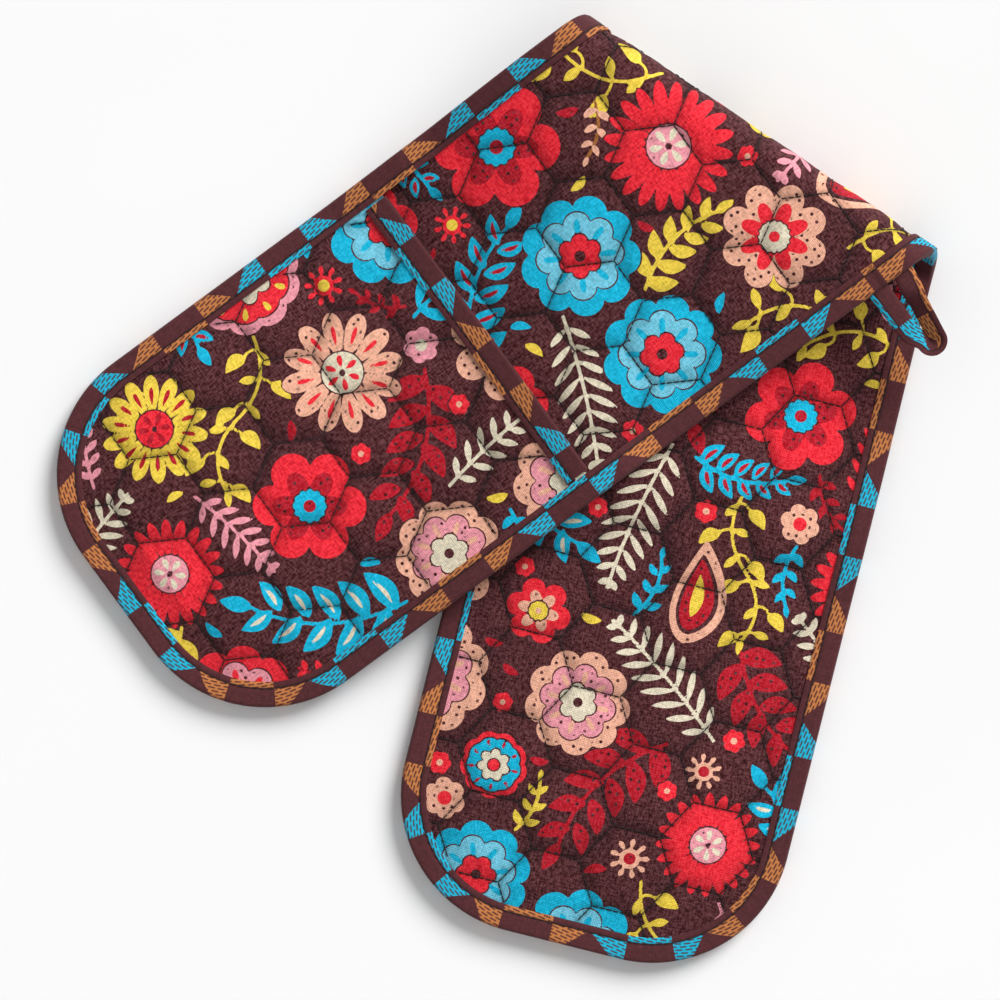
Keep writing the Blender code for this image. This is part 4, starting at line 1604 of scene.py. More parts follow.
@dataclass
class Pocket:
    """A quilted hand pocket panel."""

    weft: Weft
    side: Side
    print_on: Scatter
    lining: Scatter
    crease: float = 0.0008

    @classmethod
    def of(cls, weft: Weft, side: Side) -> "Pocket":
        """The pocket of one arm, with its own two layouts of the print."""
        seeds = {Side.LEFT: (23, 29), Side.RIGHT: (31, 37)}[side]
        return cls(weft, side, *(Scatter(seed, *POCKET_AREA) for seed in seeds))

    def faces(self, end: Array, across: Array) -> tuple[Array, Array, Array]:
        """Levels of the outer and the hand side over the strip's middle, and the seam distance.

        Args:
            end: distances from the rounded end.
            across: distances from the centre line.

        Returns:
            The two levels and the distance, in metres.
        """
        g, w = self.weft.glove, self.weft
        away = g.pocket_quilting.seam_distance(end, across)
        full = g.rise(end, across) * g.from_mouth(end)
        inside = g.pocket_inside(self.side, end, across)
        thick = g.pocket_thickness(end, across)
        thin = np.maximum(thick - g.pocket_edge, 0) * w.shrink(end, across, away, self.side.value)
        ripple = w.wrinkle(end, across, away, self.side.value) * full
        if self.side is Side.RIGHT:
            outer = g.pocket_outside(self.side, end, across)
            level = self.crease * full * (1 - clamp(g.pocket_quilting.pillow(end, across)))
            return outer - level, outer - thick + thin, away
        return inside + np.maximum(thick - thin + ripple, w.thinnest), inside, away

    def quilt(self, name: str, nodes: Sequence[str]) -> bpy.types.Object:
        """Builds the panel as a closed pad.

        Args:
            name: the piece's name.
            nodes: the CAD nodes that it stands for.

        Returns:
            The piece.
        """
        g, w = self.weft.glove, self.weft
        end, across = w.grid(self.side, mouth=True)
        outer, inner, away = self.faces(end, across)
        faces = [g.place(self.side, end, across, level) for level in (outer, inner)]
        readings = [w.values(end, across, away, layout) for layout in (self.print_on, self.lining)]
        return build_pad(name, faces, readings, nodes)

    def stitches(self, name: str) -> bpy.types.Object:
        """Builds the quilting stitches on the outer side.

        Args:
            name: the piece's name.

        Returns:
            The piece.
        """
        g, seam = self.weft.glove, QUILT_STITCH
        start, finish = seam.on_hexagons(g.pocket_quilting, g.pocket_depth, g.half_width)
        middle = (start + finish) / 2
        margin = g.tape_width + seam.length / 2
        keep = (g.edge_distance(*middle.T) > margin) & (middle[:, 0] > 0)
        keep &= middle[:, 0] < g.pocket_depth - margin
        ends = []
        for flat in (start[keep].T, finish[keep].T):
            outer, _, _ = self.faces(*flat)
            ends.append(g.place(self.side, *flat, outer))
        flat = middle[keep].T
        outer, inner, _ = self.faces(*flat)
        lift = g.place(self.side, *flat, outer) - g.place(self.side, *flat, inner)
        return seam.sew(name, [(*ends, lift)])


@dataclass
class Tape:
    """Check tape folded over a sewn edge, and the stitches that hold it."""

    weft: Weft
    step: float = 0.0016
    flat_steps: int = 12
    round_steps: int = 7
    groove: float = 0.00035
    groove_half: float = 0.0009
    lip_press: float = 0.4
    lip_half: float = 0.0006
    ripple: float = 0.00016
    ripple_length: float = 0.0047
    ripple_share: float = 0.6
    ripple_ratio: float = 1.7
    edge_phase: float = 0.0333
    right_slip: float = 0.0104
    slip_run: float = 0.15
    mouth_phase: float = 0.0476
    lap_run: float = 0.8600
    lap_step: float = 0.00045
    lap_skip: float = 0.0180

    def profile(self, front: Array, back: Array) -> tuple[Array, Array, Array]:
        """Section of the tape round an edge that reaches from -back to front.

        Args:
            front: level of the covered cloth on the pocket side, at each station.
            back: level of it on the other side, as a positive number.

        Returns:
            Depths in from the edge, levels, and the distance across the tape from its front lip,
            each with a row for each station.
        """
        g = self.weft.glove
        flat = np.linspace(1, 0, self.flat_steps)
        from_seam = (flat - g.topstitch_share) * g.tape_width
        press = self.groove * np.exp(-((from_seam / self.groove_half) ** 2))
        lip = self.lip_press * g.tape_thickness * np.exp(-((1 - flat) * g.tape_width / self.lip_half))
        skin = g.gap + g.tape_thickness - press - lip
        turn = np.linspace(0, math.pi, self.round_steps + 2)[1:-1]
        count = len(front)
        ones = np.ones((count, 1))
        front, back = front[:, None], back[:, None]
        middle, half = (front - back) / 2, (front + back) / 2
        reach = g.gap + g.tape_thickness
        outer_depth = np.concatenate([
            ones * flat * g.tape_width,
            -reach * np.sin(turn) * ones,
            ones * flat[::-1] * g.tape_width,
        ], axis=1)
        outer_level = np.concatenate([
            front + skin,
            middle + (half + reach) * np.cos(turn),
            -back - skin[::-1],
        ], axis=1)
        past = -g.gap / g.tape_width
        inner_depth = ones * np.array([1.0, 0.0, past, past, 0.0, 1.0]) * g.tape_width
        low, high = -back - g.gap, front + g.gap
        inner_level = np.concatenate([low, low, low, high, high, high], axis=1)
        depth = np.concatenate([outer_depth, inner_depth], axis=1)
        level = np.concatenate([outer_level, inner_level], axis=1)
        return depth, level, ones * line_run(np.stack([depth[0], level[0]], axis=1))

    def edge_stations(self, side: Side) -> tuple[Array, Array, Array]:
        """Places on an arm's sewn edge, the way out of it, and the distance along it.

        The row runs from the middle of the fold down one long edge, round the end and back.

        Args:
            side: the arm.

        Returns:
            Rows of end and across, rows of the way out in the same axes, and the distances.
        """
        g = self.weft.glove
        radius = g.corner_radius
        span = g.half_width - radius
        turns = math.ceil(radius * math.pi / 2 / self.step)
        halves = []
        for hand in (1, -1):
            middle = float(g.end_at(side, 0.0, hand * g.half_width))
            slope = side.value * hand * math.tan(g.fold_angle)
            count = math.ceil((middle - radius) / self.step)
            found: list[tuple[float, float, float, float]] = []
            for i in range(count):
                end = middle + (radius - middle) * i / count
                slant = slope * max(0.0, 1 - (middle - end) / g.half_turn)
                found.append((end, hand * g.half_width, slant, hand))
            for i in range(turns + 1):
                turn = math.pi / 2 * i / turns
                out = (-math.sin(turn), hand * math.cos(turn))
                found.append((radius + out[0] * radius, hand * span + out[1] * radius, *out))
            halves.append(found)
        count = math.ceil(span * 2 / self.step)
        flat = [(0.0, span - 2 * span * i / count, -1.0, 0.0) for i in range(1, count)]
        rows = np.array(halves[0] + flat + halves[1][::-1])
        return rows[:, :2], rows[:, 2:], line_run(rows[:, :2])

    def waves(self, run: Array) -> Array:
        """Small ripples of the tape along its length, from -1 to 1.

        Args:
            run: distances along the tape.

        Returns:
            The heights of the ripples.
        """
        turn = run * math.tau / self.ripple_length
        second = np.sin(turn / self.ripple_ratio + 1.0)
        return self.ripple_share * np.sin(turn) + (1 - self.ripple_share) * second

    def raised(self, level: Array, height: Array, low: float, high: float) -> Array:
        """Lifts the tape's outer skin, and not what touches the cloth.

        Args:
            level: levels of the tape's section, with a row for each station.
            height: how far it is lifted, at each station.
            low: level of the covered cloth on the other side.
            high: level of it on the pocket side.

        Returns:
            The new levels.
        """
        skin = np.abs(level - (low + high) / 2) > (high - low) / 2 + self.weft.glove.gap * 2
        return level + np.sign(level) * height[:, None] * skin

    def lap(self, side: Side, run: Array) -> Array:
        """1 where the tape's end lies over its start, near the hanging loop."""
        return clamp((run - self.lap_run) / self.step) * (side is Side.LEFT)

    def edge(self, side: Side, name: str) -> bpy.types.Object:
        """Builds the tape along one arm's edge and its half of the fold.

        Args:
            side: the arm.
            name: the piece's name.

        Returns:
            The piece.
        """
        g = self.weft.glove
        at, out, run = self.edge_stations(side)
        front = g.front_height(at[:, 0])
        front = np.where(at[:, 0] > g.pocket_depth + g.bound + g.mouth_lift_run, g.strip_edge, front)
        depth, level, across_tape = self.profile(front, np.full(len(front), g.strip_edge))
        lap = self.lap(side, run)
        for height in (self.ripple * self.waves(run), self.lap_step * lap):
            level = self.raised(level, height, -g.strip_edge, g.strip_edge)
        end = at[:, :1] - out[:, :1] * depth
        across = at[:, 1:] - out[:, 1:] * depth
        slip = -self.lap_skip * lap
        if side is Side.RIGHT:
            slip = slip + self.right_slip * smooth(run / self.slip_run)
        reading = np.broadcast_to((run * side.value + self.edge_phase + slip)[:, None], depth.shape)
        reading = np.stack([reading, across_tape, depth], axis=-1)
        return build_tape(name, g.place(side, end, across, level), reading)

    def edge_stitches(self, side: Side, name: str) -> bpy.types.Object:
        """Builds the topstitch on both faces of one arm's edge tape.

        Args:
            side: the arm.
            name: the piece's name.

        Returns:
            The piece.
        """
        g, seam = self.weft.glove, TOPSTITCH
        at, out, run = self.edge_stations(side)
        line = at - out * g.topstitch_place
        length = line_run(line)
        runs = []
        for face in Face:
            spots = []
            for share in seam.split(length[-1]):
                place = share * length[-1]
                end, across, edge_end = (np.interp(place, length, row) for row in (*line.T, at[:, 0]))
                covered = g.front_height(edge_end) if face is Face.FRONT else g.strip_edge
                lap = self.lap_step * self.lap(side, np.interp(place, length, run))
                level = covered + g.gap + g.tape_thickness - self.groove + lap
                spots.append((end, across, face.value * level))
            start, finish = (g.place(side, *spot) for spot in spots)
            end, across, level = spots[0]
            lifted = g.place(side, end, across, level + face.value * MILLIMETRE)
            runs.append((start, finish, lifted - start))
        return seam.sew(name, runs)

    def mouth(self, side: Side, name: str) -> bpy.types.Object:
        """Builds the tape over a pocket's mouth.

        Args:
            side: the arm.
            name: the piece's name.

        Returns:
            The piece.
        """
        g = self.weft.glove
        reach = g.half_width - g.bound - g.gap
        count = math.ceil(reach * 2 / self.step)
        across = np.linspace(-reach, reach, count + 1)
        depth, level, across_tape = self.profile(np.full(count + 1, g.pocket_edge), np.zeros(count + 1))
        end = g.pocket_depth - depth
        whole = across[:, None] * np.ones_like(depth)
        base = g.pocket_inside(side, g.pocket_depth - np.maximum(depth, 0), whole)
        level = self.raised(level, self.ripple * self.waves(across), 0.0, g.pocket_edge)
        reading = np.stack([whole + self.mouth_phase, across_tape, depth], axis=-1)
        return build_tape(name, g.place(side, end, whole, base + level), reading)

    def mouth_stitches(self, side: Side, name: str) -> bpy.types.Object:
        """Builds the topstitch on the outer face of a mouth tape.

        Args:
            side: the arm.
            name: the piece's name.

        Returns:
            The piece.
        """
        g, seam = self.weft.glove, TOPSTITCH
        reach = g.half_width - g.bound - g.gap
        end = g.pocket_depth - g.topstitch_place
        spots = []
        for share in seam.split(reach * 2):
            across = (share * 2 - 1) * reach
            covered = g.pocket_inside(side, end, across) + g.pocket_edge
            spots.append((across, covered + g.gap + g.tape_thickness - self.groove))
        start, finish = (g.place(side, end, *spot) for spot in spots)
        across, level = spots[0]
        lifted = g.place(side, end, across, level + MILLIMETRE)
        return seam.sew(name, [(start, finish, lifted - start)])


@dataclass
class HangingLoop:
    """The loop of folded tape at the fold's corner, and the stitch that holds it."""

    weft: Weft
    width: float = 0.0105
    thickness: float = 0.0012
    length: float = 0.036
    eye: float = 0.0056
    bend: float = 0.0050
    flat_length: float = 0.0042
    turn_length: float = 0.0105
    stand_off: float = 0.0010
    tuck: float = 0.0020
    from_fold: float = 0.0111
    bar_length: float = 0.009
    bar_width: float = 0.0024
    bar_stitches: int = 16
    plump: float = 1.7
    roundness: float = 0.35
    hem_groove: float = 0.35
    hem_place: float = 0.80
    hem_half: float = 0.07
    tilt: float = 0.45
    phase: float = 0.0841
    steps: int = 44
    section_steps: int = 7

    def end(self) -> float:
        """Distance from the left arm's end to the middle of the loop."""
        g = self.weft.glove
        return float(g.end_at(Side.LEFT, g.half_turn, -g.half_width)) - self.from_fold

    def root(self) -> Array:
        """The middle of the loop's sewn edge.

        Returns:
            The point.
        """
        g = self.weft.glove
        outside = g.gap + g.tape_thickness + self.stand_off
        return g.place(Side.LEFT, self.end(), -g.half_width - outside, -g.strip_edge / 2)

    def path(self) -> tuple[Array, Array, Array]:
        """Middle line of the tape: along the edge, out of it, and 0 lying flat to 1 on edge.

        Returns:
            The three rows, from one sewn end to the other.
        """
        leg = (self.eye + self.thickness) / 2
        flat = (self.width + self.thickness) / 2
        straight = self.length - leg - self.turn_length
        share = np.linspace(0, 1, self.steps)
        reach = share * (straight + self.turn_length)
        first = smooth((reach - straight) / self.turn_length)
        last = smooth((reach - self.flat_length) / self.turn_length)[::-1]
        angle = np.linspace(0, math.pi, self.steps // 2 + 2)[1:-1]
        tip = straight + self.turn_length
        reach[0] = -self.tuck
        along = [
            -leg - (flat - leg) * (1 - first),
            -leg * np.cos(angle),
            leg + self.bend * (1 - share[::-1]),
        ]
        out = [reach, tip + leg * np.sin(angle), reach[::-1]]
        turn = [first, np.ones(len(angle)), last]
        return np.concatenate(along), np.concatenate(out), np.concatenate(turn)

    def build(self, name: str) -> bpy.types.Object:
        """Builds the loop.

        Args:
            name: the piece's name.

        Returns:
            The piece.
        """
        sin_a, cos_a = self.weft.glove.slant
        along, out, turn = self.path()
        edge, away = np.array([sin_a, cos_a, 0.0]), np.array([cos_a, -sin_a, 0.0])
        centres = self.root() + along[:, None] * edge + out[:, None] * away
        ahead = np.gradient(centres, axis=0)
        ahead /= np.linalg.norm(ahead, axis=1, keepdims=True)
        up = np.array([0.0, 0.0, 1.0])
        aside = np.cross(ahead, up)
        angle = (turn * self.tilt * math.pi / 2)[:, None]
        wide = aside * np.cos(angle) + up * np.sin(angle)
        thick = np.cross(ahead, wide)
        flat = np.linspace(-1, 1, self.section_steps * 2)
        bow = np.sqrt(np.maximum(1 - flat ** 2, 0)) ** self.roundness
        from_hem = (np.abs(flat) - self.hem_place) / self.hem_half
        hem = 1 - self.hem_groove * np.exp(-(from_hem ** 2))
        across = np.concatenate([flat, flat[-2:0:-1]])
        high = np.concatenate([bow * hem, -(bow * hem)[-2:0:-1]])
        sections = centres[:, None] + wide[:, None] * (across * self.width / 2)[None, :, None]
        sections = sections + thick[:, None] * (high * self.plump * self.thickness / 2)[None, :, None]
        shape = sections.shape[:2]
        depth = np.broadcast_to((across + 1) / 2 * self.width, shape)
        run = np.broadcast_to(line_run(centres)[:, None] + self.phase, shape)
        reading = np.stack([run, depth, depth], axis=-1)
        return build_tape(name, sections, reading)

    def bar_tack(self, name: str) -> bpy.types.Object:
        """Builds the dense zigzag stitch on the back of the edge tape.

        Args:
            name: the piece's name.

        Returns:
            The piece.
        """
        g = self.weft.glove
        count = self.bar_stitches
        end = self.end() + self.bar_length * (np.arange(count) / (count - 1) - 0.5)
        slant = self.bar_length / count / 2 * np.where(np.arange(count) % 2, 1, -1)
        middle = -g.half_width + g.tape_width / 2
        level = -g.strip_edge - g.gap - g.tape_thickness
        ends = [
            g.place(Side.LEFT, end + slant * hand, middle + hand * self.bar_width / 2, level)
            for hand in (-1, 1)
        ]
        lift = np.broadcast_to(np.array([0.0, 0.0, -1.0]), ends[0].shape)
        return BAR_STITCH.sew(name, [(*ends, lift)])


Socket = bpy.types.NodeSocket
Tree = bpy.types.NodeTree


class Nodes:
    """Short ways to add shader nodes to one tree."""

    def __init__(self, tree: Tree) -> None:
        """Works on the given tree."""
        self.tree = tree

    def add(self, kind: str, **settings: object) -> bpy.types.Node:
        """Adds a node and sets its properties.

        Args:
            kind: the node's type.
            **settings: its properties.

        Returns:
            The node.
        """
        node = self.tree.nodes.new(kind)
        for name, value in settings.items():
            setattr(node, name, value)
        return node

    def feed(self, socket: Socket, value: object) -> None:
        """Links an output to a socket, or sets the socket's own value.

        Args:
            socket: the input.
            value: an output or a plain value.
        """
        if isinstance(value, bpy.types.NodeSocket):
            self.tree.links.new(value, socket)
        else:
            socket.default_value = value

    def fed(self, kind: str, values: Iterable[object], **settings: object) -> bpy.types.Node:
        """Adds a node and feeds its first inputs.

        Args:
            kind: the node's type.
            values: what its inputs get, in their order.
            **settings: its properties.

        Returns:
            The node.
        """
        node = self.add(kind, **settings)
        for socket, value in zip(node.inputs, values):
            self.feed(socket, value)
        return node

    def math(self, operation: str, *values: object) -> Socket:
        """Adds a math node."""
        return self.fed("ShaderNodeMath", values, operation=operation).outputs[0]

    def spread(self, value: Socket, low: float, high: float,
               to_low: float = 0.0, to_high: float = 1.0) -> Socket:
        """Maps a range to another one, with eased ends."""
        values = (value, low, high, to_low, to_high)
        return self.fed("ShaderNodeMapRange", values, interpolation_type="SMOOTHSTEP").outputs[0]

    def mix(self, share: object, first: object, second: object, blend: str = "MIX") -> Socket:
        """Mixes two colours, which the node takes at its inputs 6 and 7 and gives at its output 2.

        Args:
            share: how much the second colour counts.
            first: the first colour.
            second: the second colour.
            blend: how the two are put together.

        Returns:
            The colour.
        """
        node = self.add("ShaderNodeMix", data_type="RGBA", blend_type=blend)
        self.feed(node.inputs["Factor"], share)
        self.feed(node.inputs[6], first)
        self.feed(node.inputs[7], second)
        return node.outputs[2]

    def parts(self, vector: Socket) -> tuple[Socket, Socket, Socket]:
        """Splits a vector."""
        x, y, z = self.fed("ShaderNodeSeparateXYZ", [vector]).outputs
        return x, y, z

    def joined(self, *values: object) -> Socket:
        """Makes a vector of three values."""
        return self.fed("ShaderNodeCombineXYZ", values).outputs[0]

    def grey(self, level: Socket) -> Socket:
        """Makes a grey of one level."""
        return self.joined(level, level, level)

    def times(self, base: object, by: Socket) -> Socket:
        """Multiplies two colours."""
        return self.mix(1.0, base, by, "MULTIPLY")

    def centred(self, value: Socket) -> Socket:
        """Moves a noise's middle from a half to 0."""
        return self.math("SUBTRACT", value, 0.5)

    def attribute(self, name: str) -> Socket:
        """Reads a vector that the mesh holds at its points."""
        return self.add("ShaderNodeAttribute", attribute_name=name).outputs["Vector"]

    def noise(self, place: Socket, scale: float, detail: float = 2.0) -> Socket:
        """Adds a noise texture.

        Args:
            place: where it is read.
            scale: its scale.
            detail: how many finer layers it has.

        Returns:
            A value from 0 to 1.
        """
        node = self.add("ShaderNodeTexNoise")
        self.feed(node.inputs["Vector"], place)
        self.feed(node.inputs["Scale"], scale)
        self.feed(node.inputs["Detail"], detail)
        return node.outputs["Fac"]

    def wave(self, value: Socket, length: float, phase: float = 0.0) -> Socket:
        """A sine wave of the given length, from -1 to 1."""
        turned = self.math("MULTIPLY_ADD", value, math.tau / length, phase)
        return self.math("SINE", turned)

    def group(self, tree: Tree, **values: object) -> bpy.types.Node:
        """Places a node group with its own values.

        Args:
            tree: the group.
            **values: what its inputs get, by name.

        Returns:
            The node.
        """
        node = self.add("ShaderNodeGroup", node_tree=tree)
        for name, value in values.items():
            self.feed(node.inputs[name], value)
        return node


def colour(shares: Sequence[float]) -> tuple[float, float, float, float]:
    """Turns sRGB shares into the linear colour that a socket holds."""
    linear = [s / 12.92 if s <= 0.04045 else ((s + 0.055) / 1.055) ** 2.4 for s in shares]
    return linear[0], linear[1], linear[2], 1.0


def new_group(name: str, inputs: dict[str, str],
              outputs: dict[str, str]) -> tuple[Tree, Nodes, dict[str, Socket]]:
    """Starts a node group.

    Args:
        name: its name.
        inputs: socket type by name.
        outputs: socket type by name.

    Returns:
        The tree, its helper and the input sockets by name.
    """
    tree = bpy.data.node_groups.new(name, "ShaderNodeTree")
    for label, kind in inputs.items():
        tree.interface.new_socket(label, in_out="INPUT", socket_type=kind)
    for label, kind in outputs.items():
        tree.interface.new_socket(label, in_out="OUTPUT", socket_type=kind)
    nodes = Nodes(tree)
    source = nodes.add("NodeGroupInput")
    return tree, nodes, {label: source.outputs[label] for label in inputs}


def close_group(nodes: Nodes, **results: Socket) -> None:
    """Links the results of a node group to its output.

    Args:
        nodes: the group's helper.
        **results: what it gives, by name.
    """
    sink = nodes.add("NodeGroupOutput")
    for label, value in results.items():
        nodes.feed(sink.inputs[label], value)


# Plain weave: scale and size of the threads' jitter, scale, stretch and range of the slubs along
# them, the slice of the second noise, and what height and slubs give to the speckle.
JITTER_SCALE, JITTER = 700.0, 0.00018
SLUB_SCALE, SLUB_STRETCH, SLUB_RANGE = 1150.0, 0.3, (0.36, 0.64)
SLUB_SLICE = 0.3
HEIGHT_SHARE, SPECKLE_LEVEL = 0.5, 1.2

# Uneven dye: scale, detail and share of its slow and of its fast noise.
SLOW_DYE = (22.0, 3.0, 0.6)
FAST_DYE = (420.0, 2.0, 0.4)


@dataclass(frozen=True)
class Effects:
    """The node groups that several finishes share."""

    weave: Tree
    uneven: Tree

    @classmethod
    def build(cls) -> "Effects":
        """Builds the groups."""
        return cls(cls.make_weave(), cls.make_uneven())

    @staticmethod
    def make_weave() -> Tree:
        """Plain weave: threads over and under each other, as a height and a speckle.

        Returns:
            The group.
        """
        tree, nodes, given = new_group(
            "plain_weave",
            {"Place": "NodeSocketVector", "Pitch": "NodeSocketFloat"},
            {"Height": "NodeSocketFloat", "Speckle": "NodeSocketFloat"},
        )
        u, v, _ = nodes.parts(given["Place"])
        jitter = nodes.math("MULTIPLY", nodes.noise(given["Place"], JITTER_SCALE), JITTER)
        turns = nodes.math("DIVIDE", math.pi, given["Pitch"])
        across, along = (
            nodes.math("SINE", nodes.math("MULTIPLY", nodes.math("ADD", place, jitter), turns))
            for place in (u, v)
        )
        height = nodes.math("ABSOLUTE", nodes.math("MULTIPLY", across, along))
        first = nodes.joined(nodes.math("MULTIPLY", u, SLUB_STRETCH), v, 0.0)
        second = nodes.joined(u, nodes.math("MULTIPLY", v, SLUB_STRETCH), SLUB_SLICE)
        slubs = [nodes.spread(nodes.noise(place, SLUB_SCALE), *SLUB_RANGE) for place in (first, second)]
        slub = nodes.math("SUBTRACT", nodes.math("ADD", *slubs), SPECKLE_LEVEL)
        speckle = nodes.math("MULTIPLY_ADD", height, HEIGHT_SHARE, slub)
        close_group(nodes, Height=height, Speckle=speckle)
        return tree

    @staticmethod
    def make_uneven() -> Tree:
        """Slow and fast unevenness of a dyed cloth, as a colour to multiply by.

        Returns:
            The group.
        """
        tree, nodes, given = new_group(
            "uneven_dye",
            {"Place": "NodeSocketVector", "Amount": "NodeSocketFloat"},
            {"Tint": "NodeSocketColor"},
        )
        layers = [
            nodes.math("MULTIPLY", nodes.noise(given["Place"], scale, detail), share)
            for scale, detail, share in (SLOW_DYE, FAST_DYE)
        ]
        both = nodes.centred(nodes.math("ADD", *layers))
        level = nodes.math("ADD", nodes.math("MULTIPLY", both, given["Amount"]), 1.0)
        close_group(nodes, Tint=nodes.grey(level))
        return tree


SHEEN_ROUGHNESS = 0.5
SPECULAR = 0.25


def new_material(name: str, roughness: float,
                 sheen: float) -> tuple[bpy.types.Material, Nodes, bpy.types.Node]:
    """Starts a material.

    Args:
        name: its name.
        roughness: the shader's roughness.
        sheen: how much fuzz catches the light.

    Returns:
        The material, its helper and its Principled shader.
    """
    material = bpy.data.materials.new(name)
    material.use_nodes = True
    nodes = Nodes(material.node_tree)
    shader = material.node_tree.nodes["Principled BSDF"]
    shader.inputs["Roughness"].default_value = roughness
    shader.inputs["Sheen Weight"].default_value = sheen
    shader.inputs["Sheen Roughness"].default_value = SHEEN_ROUGHNESS
    shader.inputs["Specular IOR Level"].default_value = SPECULAR
    return material, nodes, shader


def add_bump(nodes: Nodes, shader: bpy.types.Node, height: Socket, distance: float) -> None:
    """Raises a surface by a height from 0 to 1 times a distance.

    Args:
        nodes: the material's helper.
        shader: its shader.
        height: the height.
        distance: how far a height of 1 stands out.
    """
    bump = nodes.add("ShaderNodeBump")
    nodes.feed(bump.inputs["Height"], height)
    bump.inputs["Distance"].default_value = distance
    nodes.feed(shader.inputs["Normal"], bump.outputs["Normal"])


@dataclass(frozen=True)
class PrintedCotton:
    """Matt cotton canvas, dyed plum and printed."""

    effects: Effects
    roughness: float = 0.88
    sheen: float = 0.06
    pitch: float = 0.00080
    edge: float = 0.00012
    fray: float = 0.00022
    fray_scale: float = 1600.0
    relief: float = 0.00016
    contrast: float = 0.20
    ground_contrast: float = 0.42
    glint: float = 0.020
    freckle_pitch: float = 0.0044
    freckle: float = 0.00085
    freckle_scatter: float = 0.45
    freckle_edge: tuple[float, float] = (0.75, 1.15)
    wear_scale: float = 1300.0
    wear_range: tuple[float, float] = (0.66, 0.80)
    worn: float = 0.72
    uneven: float = 0.46
    # Painted shade along the quilting's creases: a narrow dark band at each seam and a wider soft one,
    # each given as its reach and its darkest share.
    narrow_crease_shade: tuple[float, float] = (0.0020, 0.62)
    wide_crease_shade: tuple[float, float] = (0.0085, 0.78)

    def freckles(self, nodes: Nodes, cloth: Socket) -> Socket:
        """1 on small dots strewn over the cloth, 0 between them.

        Args:
            nodes: the material's helper.
            cloth: flat places on the cloth.

        Returns:
            The mask.
        """
        cells = nodes.add("ShaderNodeTexVoronoi", voronoi_dimensions="2D")
        nodes.feed(cells.inputs["Vector"], cloth)
        nodes.feed(cells.inputs["Scale"], 1 / self.freckle_pitch)
        nodes.feed(cells.inputs["Randomness"], self.freckle_scatter)
        low, high = (share * self.freckle / self.freckle_pitch for share in self.freckle_edge)
        return nodes.spread(cells.outputs["Distance"], low, high, 1.0, 0.0)

    def build(self) -> bpy.types.Material:
        """Builds the material.

        Returns:
            The material.
        """
        material, nodes, shader = new_material("printed_cotton", self.roughness, self.sheen)
        cloth = nodes.attribute("cloth")
        _, _, away = nodes.parts(cloth)
        fray = nodes.centred(nodes.noise(cloth, self.fray_scale))
        fray = nodes.math("MULTIPLY", fray, self.fray)
        weave = nodes.group(self.effects.weave, Place=cloth, Pitch=self.pitch)
        speckle = weave.outputs["Speckle"]
        on_ground, on_ink = (
            nodes.grey(nodes.math("MULTIPLY_ADD", speckle, contrast, 1.0))
            for contrast in (self.ground_contrast, self.contrast)
        )
        now = nodes.times(colour(GROUND), on_ground)
        inks = [part for i in range(len(INKS) // 3)
                for part in nodes.parts(nodes.attribute(f"inks_{i + 1}"))]
        worn = nodes.spread(nodes.noise(cloth, self.wear_scale), *self.wear_range, 1.0, self.worn)
        dots = self.freckles(nodes, cloth)
        for ink, distance in zip(INKS, inks):
            mask = nodes.spread(nodes.math("ADD", distance, fray), -self.edge, self.edge)
            share = worn
            if ink in FRECKLED:
                inner = nodes.spread(distance, self.freckle, self.freckle * 2)
                bare = nodes.math("SUBTRACT", 1.0, nodes.math("MULTIPLY", inner, dots))
                share = nodes.math("MULTIPLY", worn, bare)
            now = nodes.mix(nodes.math("MULTIPLY", mask, share), now, colour(ink.value))
        now = nodes.times(now, on_ink)
        glint = nodes.grey(nodes.math("MULTIPLY", speckle, self.glint))
        now = nodes.mix(1.0, now, glint, "ADD")
        tint = nodes.group(self.effects.uneven, Place=cloth, Amount=self.uneven)
        now = nodes.times(now, tint.outputs["Tint"])
        # Painted shade: the colour darkens towards each stitched seam, where the crease lies in shade.
        seams = (self.narrow_crease_shade, self.wide_crease_shade)
        shades = (nodes.spread(away, 0.0, run, dark, 1.0) for run, dark in seams)
        now = nodes.times(now, nodes.grey(nodes.math("MULTIPLY", *shades)))
        nodes.feed(shader.inputs["Base Color"], now)
        add_bump(nodes, shader, weave.outputs["Height"], self.relief)
        return material


